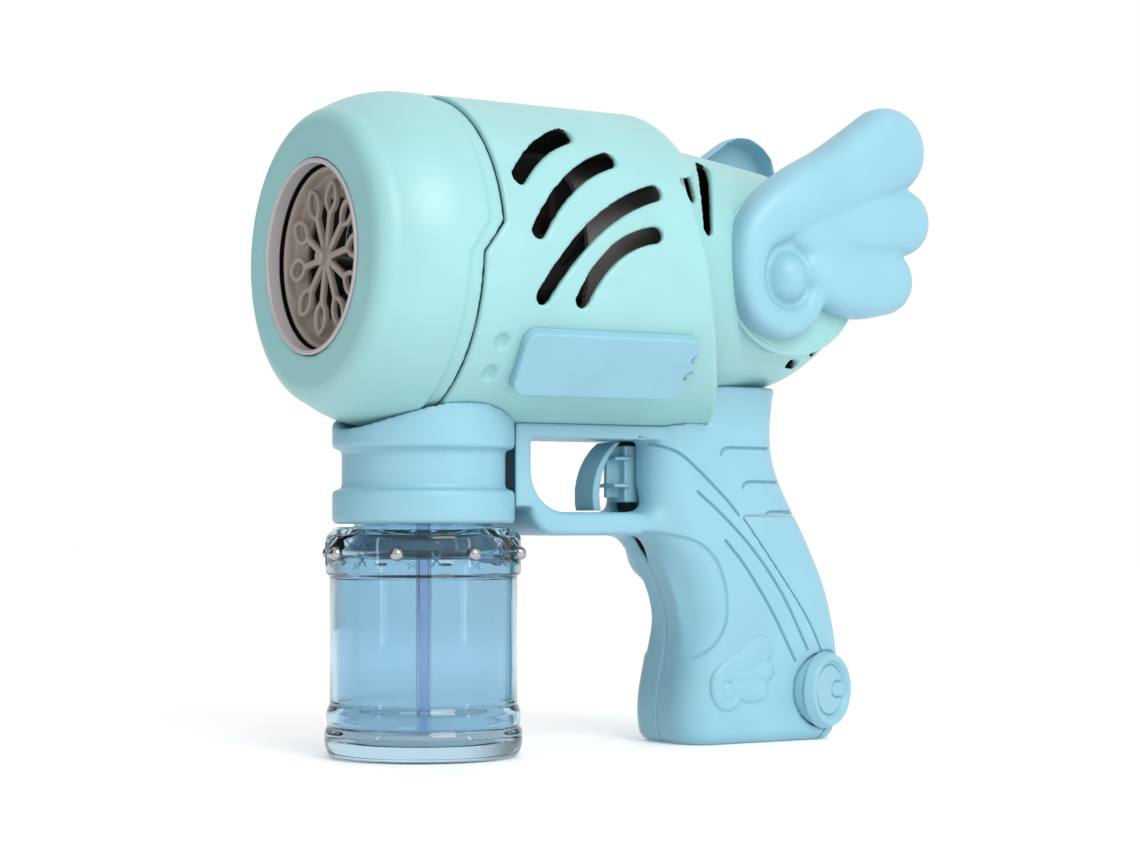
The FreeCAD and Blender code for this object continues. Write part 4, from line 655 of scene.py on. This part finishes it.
def blob_chain(build, stroke, depth, flat=2.6):
    """Overlapping flattened balls along a stroke of (along, above, radius)."""
    line = smooth_line(stroke, 12)
    for along, above, radius in line:
        balls = bmesh.ops.create_icosphere(build, subdivisions=3, radius=1.0)
        thick = depth * min(1.0, 0.42 + 0.58 * radius / 10.0)
        for vert in balls["verts"]:
            spread = min(1.0, math.hypot(vert.co.y, vert.co.z))
            crown = math.copysign((1 - spread ** flat) ** (1 / flat), vert.co.x)
            vert.co = Vector((
                (WING_PLANE + crown * thick) * MM,
                (SCROLL_CENTRE[0] + along + vert.co.y * radius) * MM,
                (SCROLL_CENTRE[1] + above + vert.co.z * radius) * MM))


def hollow_back(mesh, wall):
    """Push the inner face of a wing up behind its outer face, leaving a thin wall."""
    points = read_points(mesh)
    normals = read_normals(mesh)
    tree = BVHTree.FromPolygons([Vector(p) for p in points],
                                [tuple(face.vertices) for face in mesh.polygons])
    inner = ease(-normals[:, 0], 0.15, 0.75)
    for index in np.nonzero(inner > 0)[0]:
        spot = points[index]
        hit = tree.ray_cast(Vector((80.0, spot[1], spot[2])), Vector((-1, 0, 0)))[0]
        if hit is not None:
            target = hit.x - wall
            if target > spot[0]:
                points[index, 0] += (target - spot[0]) * inner[index]
    write_points(mesh, points)


class BLOWER_OT_wings(bpy.types.Operator):
    """Hollow puffed wings: three feathers rolled into a scroll"""

    bl_idname = "blower.wings"
    bl_label = "Wings"

    def execute(self, context):
        sizes = shape()
        depth = sizes.wing_depth / MM
        build = bmesh.new()
        blob_chain(build, SCROLL_ARM, depth)
        blob_chain(build, FEATHER_MIDDLE, depth * 0.97)
        blob_chain(build, FEATHER_LOW, depth * 0.94)
        blob_chain(build, WING_BODY, depth * 0.86)
        blob_chain(build, SCROLL_FLOOR, depth * 0.42, 5.0)
        blob_chain(build, SCROLL_BALL, depth * 1.25, 2.0)
        blobs = bpy.data.meshes.new("wing_blobs")
        build.to_mesh(blobs)
        build.free()
        mesh = softened(blobs, 0.0005, 12)
        hollow_back(mesh, sizes.wing_wall / MM)
        mesh = with_modifiers(mesh, [("SMOOTH", {"factor": 0.5, "iterations": 4})])
        for side, sign in SIDES:
            copy = mesh.copy()
            if sign < 0:
                points = read_points(copy)
                points[:, 0] *= -1
                write_points(copy, points)
                copy.flip_normals()
            make_piece(f"wing_moulding_{side}", copy, "housing", "blue_plastic",
                       [f"wing_{side}"])
        return {"FINISHED"}


# ---------------------------------------------------------------- collar and bottle

class BLOWER_OT_collar(bpy.types.Operator):
    """Collar with two rounded rings"""

    bl_idname = "blower.collar"
    bl_label = "Collar"

    def execute(self, context):
        mesh = softened(joined_cad("collar", ["bottle_collar"]), shape().grip_cell, 6)
        make_piece("collar_moulding", mesh, "housing", "blue_plastic", ["bottle_collar"])
        return {"FINISHED"}


BOTTLE_PROFILE = [
    (0.0, 0.9), (18.5, 0.9, 0.8), (20.0, 0.0, 0.8), (24.6, 0.0, 2.4), (25.7, 3.4, 1.2),
    (25.7, 6.8, 0.8), (24.9, 8.3, 0.5), (25.15, 9.6, 0.6), (25.15, 12.2, 0.8), (24.3, 14.0, 0.9),
    (24.3, 46.7, 0.4), (25.3, 47.5, 0.5), (25.3, 57.0, 0.9), (23.2, 59.5, 0.9), (18.0, 59.5, 0.4),
    (18.0, 71.5, 0.5), (16.2, 71.5, 0.4), (16.2, 58.0, 0.8), (22.5, 52.0, 2.5), (22.5, 7.0, 3.0),
    (19.0, 4.0, 1.5), (0.0, 3.4)]
STUD_COUNT = 8
STUD_HEIGHT = 52.7
BAND_RADIUS = 25.3


def stud_dome(build, angle):
    """Round stud: low skirt and a domed head, set in the band."""
    outline = [(0.0, 2.0), (0.7, 1.92), (1.25, 1.62), (1.62, 1.05), (1.78, 0.45), (1.8, -0.9),
               (0.0, -0.9)]
    steps = 28
    out = Vector((math.cos(angle), math.sin(angle), 0))
    side = Vector((-math.sin(angle), math.cos(angle), 0))
    rings = []
    for radius, height in outline:
        ring = []
        for step in range(steps if radius > 0 else 1):
            turn = 2 * math.pi * step / steps
            spot = (out * (BAND_RADIUS - 0.05 + height) + side * radius * math.cos(turn)
                    + Vector((0, 0, STUD_HEIGHT + radius * math.sin(turn))))
            ring.append(build.verts.new(spot * MM))
        rings.append(ring)
    for low, high in zip(rings, rings[1:]):
        for step in range(steps):
            after = (step + 1) % steps
            if len(low) == 1:
                build.faces.new((low[0], high[step], high[after]))
            elif len(high) == 1:
                build.faces.new((low[after], low[step], high[0]))
            else:
                build.faces.new((low[after], low[step], high[step], high[after]))


BAND_LOOP = [(-1.1, -3.0), (-0.3, -1.7), (0.9, -0.2), (1.35, 1.4), (0.0, 2.9), (-1.35, 1.4),
             (-0.9, -0.2), (0.3, -1.7), (1.1, -3.0)]
LOOP_HALF = 0.28
LOOP_RISE = 0.2


def band_loops():
    """Low loops raised on the band, one between each two studs."""
    line = smooth_line(BAND_LOOP, 6)
    build = bmesh.new()
    sides = 8
    for index in range(STUD_COUNT):
        middle = 2 * math.pi * (index + 0.5) / STUD_COUNT
        rings = []
        for spot, (along, above) in enumerate(line):
            before = line[max(spot - 1, 0)]
            after = line[min(spot + 1, len(line) - 1)]
            way = Vector(after - before).normalized()
            ring = []
            for part in range(sides):
                turn = 2 * math.pi * part / sides
                u = along - way.y * LOOP_HALF * math.cos(turn)
                v = above + way.x * LOOP_HALF * math.cos(turn)
                reach = BAND_RADIUS + 0.02 + LOOP_RISE * math.sin(turn)
                angle = middle + u / BAND_RADIUS
                ring.append(build.verts.new(Vector((
                    reach * math.cos(angle), reach * math.sin(angle), STUD_HEIGHT + v)) * MM))
            rings.append(ring)
        for low, high in zip(rings, rings[1:]):
            for part in range(sides):
                after = (part + 1) % sides
                build.faces.new((low[part], low[after], high[after], high[part]))
        build.faces.new(rings[0])
        build.faces.new(rings[-1])
    bmesh.ops.recalc_face_normals(build, faces=build.faces)
    mesh = bpy.data.meshes.new("band_loops")
    build.to_mesh(mesh)
    build.free()
    return mesh


class BLOWER_OT_bottle(bpy.types.Operator):
    """Clear bottle with a banded shoulder, faint embossed loops and metal studs"""

    bl_idname = "blower.bottle"
    bl_label = "Bottle"

    def execute(self, context):
        make_piece("bottle_wall", lathe("bottle_wall", rounded_profile(BOTTLE_PROFILE), 224),
                   "bottle", "clear_bottle", ["bottle"])
        build = bmesh.new()
        for index in range(STUD_COUNT):
            stud_dome(build, 2 * math.pi * index / STUD_COUNT)
        bmesh.ops.recalc_face_normals(build, faces=build.faces)
        mesh = bpy.data.meshes.new("studs")
        build.to_mesh(mesh)
        build.free()
        make_piece("stud_heads", mesh, "bottle", "stud_metal", ["bottle_studs"])
        make_piece("band_loops", band_loops(), "bottle", "clear_bottle")
        return {"FINISHED"}


# ---------------------------------------------------------------- grip

GRIP_SEAM = [(58.6, 83.4), (64.6, 81.6), (72.1, 78.1), (84.5, 68.0), (90.0, 62.6)]
GROOVES = [
    GRIP_SEAM,
    [(76.2, 68.9), (84.5, 62.6), (95.1, 52.9), (105.1, 40.5), (113.8, 25.3)],
    [(85.5, 55.7), (92.2, 48.6), (101.2, 36.3), (109.4, 22.3)],
    [(83.9, 79.2), (84.6, 80.4), (86.5, 81.0), (93.0, 81.0), (101.0, 81.0)],
    [(91.3, 70.2), (92.0, 71.3), (94.0, 71.8), (99.0, 71.8), (105.0, 71.8)],
    [(98.8, 62.0), (99.5, 63.1), (101.5, 63.6), (106.0, 63.6), (111.5, 63.6)],
]
RECESS = [(60.0, 58.4), (68.0, 57.9), (76.0, 56.0), (82.0, 51.8), (85.4, 45.5), (86.6, 38.4),
          (85.8, 32.0), (81.6, 26.0), (75.0, 22.3), (66.0, 20.6), (55.0, 20.0), (55.0, 40.0)]
GRIP_SCREWS = [(78.6, 9.0), (75.8, 50.5), (84.0, 76.0)]
EMBLEM_SCALE = 0.31
EMBLEM_CENTRE = (86.0, 14.6)
EMBLEM_MIDDLE = (90.5, 20.5)
EMBLEM_REACH = (11.5, 13.5)


def emblem_height(spots):
    """Height of the small feather relief over the grip's side, from the wing's own strokes."""
    height = np.zeros(len(spots))
    for stroke in (SCROLL_ARM, FEATHER_MIDDLE, FEATHER_LOW, SCROLL_BALL):
        line = smooth_line(stroke, 8) * EMBLEM_SCALE
        for along, above, radius in line:
            gap = np.hypot(spots[:, 0] - EMBLEM_CENTRE[0] - along,
                           spots[:, 1] - EMBLEM_CENTRE[1] - above)
            dome = np.sqrt(np.clip(1 - (gap / (radius + 0.25)) ** 2, 0, 1))
            height = np.maximum(height, dome * (0.75 + 0.5 * radius / 3.7))
    return height


def carve_grip(mesh):
    """Finger recess, grooves and the small relief on both sides of the grip."""
    sizes = shape()
    width, depth = sizes.groove_width / MM, sizes.groove_depth / MM
    lines = [smooth_line(path, 8) for path in GROOVES]
    recess = smooth_line(RECESS + RECESS[:1], 8)

    def near_detail(points):
        spots = points[:, 1:3]
        near = np.zeros(len(points), bool)
        for line in lines:
            near |= distance_to(line, spots) < width * 2.6
        near |= distance_to(recess, spots) < 0.9
        near |= ((np.abs(spots[:, 0] - EMBLEM_MIDDLE[0]) < EMBLEM_REACH[0])
                 & (np.abs(spots[:, 1] - EMBLEM_MIDDLE[1]) < EMBLEM_REACH[1]))
        return near & (np.abs(points[:, 0]) > 9.0)

    refined(mesh, near_detail, 2)
    points = read_points(mesh)
    normals = read_normals(mesh)
    spots = points[:, 1:3]
    side = np.sign(points[:, 0])
    flank = ease(np.abs(points[:, 0]), 4.0, 13.0)
    gap = distance_to(recess, spots)
    inner = np.where(inside_loop(recess, spots), gap, 0.0)
    push = sizes.recess_depth / MM * (0.22 * ease(inner, 0.0, 0.7) + 0.78 * ease(inner, 0.3, 14.0))
    for place in GRIP_SCREWS:
        away = np.linalg.norm(spots - np.array(place), axis=1)
        push = push * np.where(side < 0, ease(away, 3.0, 6.5), 1.0)
    points[:, 0] -= side * push * flank
    outward = ease(np.abs(normals[:, 0]), 0.2, 0.5) * (side * normals[:, 0] > 0)
    sunk = np.zeros(len(points))
    for line in lines:
        share = np.clip(1 - (distance_to(line, spots) / width) ** 2, 0, 1)
        sunk = np.maximum(sunk, share ** 1.5)
    raised = emblem_height(spots)
    points += normals * ((raised - sunk * depth) * outward)[:, None]
    write_points(mesh, points)
    return mesh


def blend_corner(mesh, centre, reach, rounds):
    """Extra rounding near a place, where the guard runs into the grip."""
    points = read_points(mesh)
    spot = np.array(centre)
    gap = np.linalg.norm(points[:, 1:3] - spot, axis=1)
    weight = 1 - ease(gap, reach * 0.55, reach)
    edges = np.empty(len(mesh.edges) * 2, np.int32)
    mesh.edges.foreach_get("vertices", edges)
    edges = edges.reshape(-1, 2)
    count = np.bincount(edges.ravel(), minlength=len(points))[:, None]
    for _ in range(rounds):
        total = np.zeros_like(points)
        np.add.at(total, edges[:, 0], points[edges[:, 1]])
        np.add.at(total, edges[:, 1], points[edges[:, 0]])
        points += (total / np.maximum(count, 1) - points) * (0.6 * weight)[:, None]
    write_points(mesh, points)


class BLOWER_OT_grip(bpy.types.Operator):
    """Grip halves with the guard, finger recess, grooves and small relief"""

    bl_idname = "blower.grip"
    bl_label = "Grip"

    def execute(self, context):
        for side, _ in SIDES:
            node = f"grip_{side}"
            mesh = softened(joined_cad(node, [node]), shape().grip_cell, 6)
            blend_corner(mesh, (69.0, 61.0), 12.0, 90)
            carve_grip(mesh)
            make_piece(f"grip_moulding_{side}", mesh, "housing", "blue_plastic", [node])
        return {"FINISHED"}


class BLOWER_OT_door(bpy.types.Operator):
    """Battery door behind the grip's long seam"""

    bl_idname = "blower.door"
    bl_label = "Battery Door"

    def execute(self, context):
        mesh = softened(joined_cad("door", ["battery_door"]), shape().grip_cell, 5)
        make_piece("door_moulding", mesh, "battery_door", "blue_plastic", ["battery_door"])
        return {"FINISHED"}


KNOB_SEAT = (14.9, 119.7, 14.0)
KNOB_TURN = math.radians(20)
KNOB_GROOVE = 7.0
KNOB_TAB_HALF = 2.2
KNOB_TAB_END = 3.2
KNOB_RADIUS = 10.8
KNOB_FACE = 2.55
KNOB_STEM = 2.5
KNOB_STEM_END = -4.5
KNOB_BACK = 0.12


def knob_groove_path():
    """Round groove, open to the rear, that turns in round the tab."""
    opening = math.asin(KNOB_TAB_HALF / KNOB_GROOVE)
    path = []
    for part in range(61):
        angle = opening + (2 * math.pi - 2 * opening) * part / 60
        path.append((KNOB_GROOVE * math.cos(angle), KNOB_GROOVE * math.sin(angle)))
    for part in range(13):
        angle = -math.pi / 2 - math.pi * part / 12
        path.append((KNOB_TAB_END + KNOB_TAB_HALF * math.cos(angle),
                     KNOB_TAB_HALF * math.sin(angle)))
    path.append(path[0])
    return np.array(path)


def knob_face(spots):
    """Height of the knob's face over its seat: rolled rim, sunk face and the groove."""
    radius = np.linalg.norm(spots, axis=1)
    rim = 0.95 * np.sqrt(np.clip(1 - ((radius - 9.25) / 1.5) ** 2, 0, 1))
    edge = -1.6 * ease(radius, 9.6, KNOB_RADIUS)
    groove = np.clip(1 - (distance_to(knob_groove_path(), spots) / 0.38) ** 2, 0, 1)
    return KNOB_FACE + rim + edge - 0.65 * groove ** 1.5


class BLOWER_OT_knob(bpy.types.Operator):
    """Lock knob with a rolled rim, sunk face and a rounded tab"""

    bl_idname = "blower.knob"
    bl_label = "Lock Knob"

    def execute(self, context):
        steps = 220
        radii = np.linspace(0.0, KNOB_RADIUS, 76)[1:]
        turns = np.arange(steps) * 2 * math.pi / steps
        rings = []
        for radius in radii:
            flat = np.stack([radius * np.cos(turns), radius * np.sin(turns)], 1)
            rings.append(np.column_stack([flat, knob_face(flat)]))
        for radius, height in ((KNOB_RADIUS, 0.5), (10.4, KNOB_BACK), (KNOB_STEM, KNOB_BACK),
                               (KNOB_STEM, KNOB_STEM_END)):
            flat = np.stack([radius * np.cos(turns), radius * np.sin(turns)], 1)
            rings.append(np.column_stack([flat, np.full(steps, height)]))
        ends = np.array([[0.0, 0.0, KNOB_FACE], [0.0, 0.0, KNOB_STEM_END]])
        local = np.vstack([*rings, ends])
        out = np.array([math.cos(KNOB_TURN), math.sin(KNOB_TURN), 0.0])
        rearward = np.array([-math.sin(KNOB_TURN), math.cos(KNOB_TURN), 0.0])
        up = np.array([0.0, 0.0, 1.0])
        points = (np.array(KNOB_SEAT) + local[:, :1] * rearward + local[:, 1:2] * up
                  + local[:, 2:3] * out)
        front, back = len(points) - 2, len(points) - 1
        faces = []
        for step in range(steps):
            after = (step + 1) % steps
            faces.append((front, step, after))
            for ring in range(len(rings) - 1):
                low, high = ring * steps, (ring + 1) * steps
                faces.append((low + step, high + step, high + after, low + after))
            last = (len(rings) - 1) * steps
            faces.append((back, last + after, last + step))
        make_piece("knob_moulding", mesh_from("knob", points, faces), "lock_knob",
                   "blue_plastic", ["lock_knob"])
        return {"FINISHED"}


class BLOWER_OT_trigger(bpy.types.Operator):
    """Curved trigger with its ribs"""

    bl_idname = "blower.trigger"
    bl_label = "Trigger"

    def execute(self, context):
        mesh = softened(joined_cad("trigger", ["trigger"]), shape().small_cell, 4)
        make_piece("trigger_moulding", mesh, "trigger", "blue_plastic", ["trigger"])
        return {"FINISHED"}


class BLOWER_OT_inner_works(bpy.types.Operator):
    """Finish of the drive, fan, cells and every other piece that keeps its CAD shape"""

    bl_idname = "blower.inner_works"
    bl_label = "Inner Works"

    def execute(self, context):
        slots = {row["node"]: row["material_slot"] for row in frame["record"]["subparts"]}
        for node, piece in frame["nodes"].items():
            if piece.hide_render:
                continue
            piece.data.materials.clear()
            piece.data.materials.append(material_of(slots[node]))
        return {"FINISHED"}


# ---------------------------------------------------------------- stage

CAMERA_PLACE = (0.59526, -0.34124, 0.06028)
CAMERA_WAY = (-0.8387, 0.5446, 0.0)
DARK_SIDE = (-0.545, -0.839, 0.0)


def area_light(name, place, aim, size, power):
    """Soft square light aimed at a point, in metres."""
    data = bpy.data.lights.new(name, "AREA")
    data.size = size
    data.energy = power
    lamp = bpy.data.objects.new(name, data)
    lamp.location = place
    lamp.rotation_mode = "QUATERNION"
    lamp.rotation_quaternion = (Vector(aim) - Vector(place)).to_track_quat("-Z", "Y")
    bpy.context.scene.collection.objects.link(lamp)
    return lamp


def shade_from_nozzle_side(tree, background, bright, dark):
    """White surround that darkens towards the nozzle's side, as a studio's dark wall does."""
    place = tree.nodes.new("ShaderNodeTexCoord")
    dot = tree.nodes.new("ShaderNodeVectorMath")
    dot.operation = "DOT_PRODUCT"
    dot.inputs[1].default_value = DARK_SIDE
    level = tree.nodes.new("ShaderNodeMapRange")
    level.interpolation_type = "SMOOTHSTEP"
    level.inputs["From Min"].default_value = 0.22
    level.inputs["From Max"].default_value = 0.95
    level.inputs["To Min"].default_value = bright
    level.inputs["To Max"].default_value = dark
    tree.links.new(place.outputs["Generated"], dot.inputs[0])
    tree.links.new(dot.outputs["Value"], level.inputs["Value"])
    tree.links.new(level.outputs["Result"], background.inputs["Strength"])


class BLOWER_OT_stage(bpy.types.Operator):
    """Pale floor, soft studio light and the camera"""

    bl_idname = "blower.stage"
    bl_label = "Stage"

    def execute(self, context):
        scene = context.scene
        stage = scene.blower_stage
        scene.view_settings.view_transform = "Standard"
        camera_data = bpy.data.cameras.new("camera")
        camera_data.lens = stage.lens
        camera_data.sensor_width = 36.0
        camera_data.shift_y = stage.rise
        camera = bpy.data.objects.new("camera", camera_data)
        camera.location = CAMERA_PLACE
        camera.rotation_mode = "QUATERNION"
        camera.rotation_quaternion = Vector(CAMERA_WAY).to_track_quat("-Z", "Y")
        scene.collection.objects.link(camera)
        scene.camera = camera

        world = bpy.data.worlds.new("white_surround")
        world.use_nodes = True
        background = world.node_tree.nodes["Background"]
        background.inputs["Color"].default_value = (1.0, 1.0, 1.0, 1.0)
        shade_from_nozzle_side(world.node_tree, background, stage.ambient, stage.shade)
        scene.world = world

        floor_mesh = mesh_from("floor", [(-6000, -6000, 0), (6000, -6000, 0), (6000, 6000, 0),
                                         (-6000, 6000, 0)], [(0, 1, 2, 3)])
        floor = bpy.data.objects.new("floor", floor_mesh)
        material, tree, shader = node_tree("pale_floor")
        place = grain_bump(tree, shader, 40.0, 0.02, 0.0005)
        mottled(tree, shader, place, (0.9, 0.9, 0.91), 0.01, 3.0)
        shader.inputs["Roughness"].default_value = 0.6
        shader.inputs["Emission Color"].default_value = (1.0, 1.0, 1.0, 1.0)
        shader.inputs["Emission Strength"].default_value = 0.2
        floor_mesh.materials.append(material)
        scene.collection.objects.link(floor)

        middle = (0.0, 0.04, 0.09)
        area_light("key", (0.75, -0.05, 0.62), middle, 0.45, stage.key_power)
        area_light("fill", (0.15, -0.9, 0.45), middle, 0.6, stage.fill_power)
        for name, place in (("strip_rear", (0.73, 0.33, 0.16)), ("strip_nozzle", (0.08, -0.8, 0.16))):
            strip = area_light(name, place, (0.0, 0.0, 0.03), 0.05, stage.strip_power)
            strip.data.shape = "RECTANGLE"
            strip.data.size_y = 0.5
        return {"FINISHED"}


# ---------------------------------------------------------------- panel

OPERATORS = (BLOWER_OT_stage, BLOWER_OT_cowl, BLOWER_OT_mid_shells, BLOWER_OT_rear_shells,
             BLOWER_OT_side_plates, BLOWER_OT_nozzle, BLOWER_OT_wings, BLOWER_OT_collar,
             BLOWER_OT_bottle, BLOWER_OT_grip, BLOWER_OT_door, BLOWER_OT_knob,
             BLOWER_OT_trigger, BLOWER_OT_inner_works)
SETTINGS = (("blower_finish", BlowerFinish), ("blower_shape", BlowerShape),
            ("blower_stage", BlowerStage))


class BLOWER_PT_panel(bpy.types.Panel):
    """Pieces of the bubble blower"""

    bl_idname = "BLOWER_PT_panel"
    bl_label = "Bubble Blower"
    bl_space_type = "VIEW_3D"
    bl_region_type = "UI"
    bl_category = "Bubble Blower"

    def draw(self, context):
        layout = self.layout
        for name, group in SETTINGS:
            settings = getattr(context.scene, name)
            for key in group.__annotations__:
                layout.prop(settings, key)
        for operator in OPERATORS:
            layout.operator(operator.bl_idname)


def register():
    """Register the settings, the operators and the panel."""
    for name, group in SETTINGS:
        bpy.utils.register_class(group)
        setattr(bpy.types.Scene, name, PointerProperty(type=group))
    for operator in OPERATORS:
        bpy.utils.register_class(operator)
    bpy.utils.register_class(BLOWER_PT_panel)


def unregister():
    """Undo register."""
    bpy.utils.unregister_class(BLOWER_PT_panel)
    for operator in reversed(OPERATORS):
        bpy.utils.unregister_class(operator)
    for name, group in reversed(SETTINGS):
        delattr(bpy.types.Scene, name)
        bpy.utils.unregister_class(group)


def main():
    register()
    bpy.ops.blower.stage()
    bpy.ops.blower.cowl()
    bpy.ops.blower.mid_shells()
    bpy.ops.blower.rear_shells()
    bpy.ops.blower.side_plates()
    bpy.ops.blower.nozzle()
    bpy.ops.blower.wings()
    bpy.ops.blower.collar()
    bpy.ops.blower.bottle()
    bpy.ops.blower.grip()
    bpy.ops.blower.door()
    bpy.ops.blower.knob()
    bpy.ops.blower.trigger()
    bpy.ops.blower.inner_works()


if __name__ == "__main__":
    main()
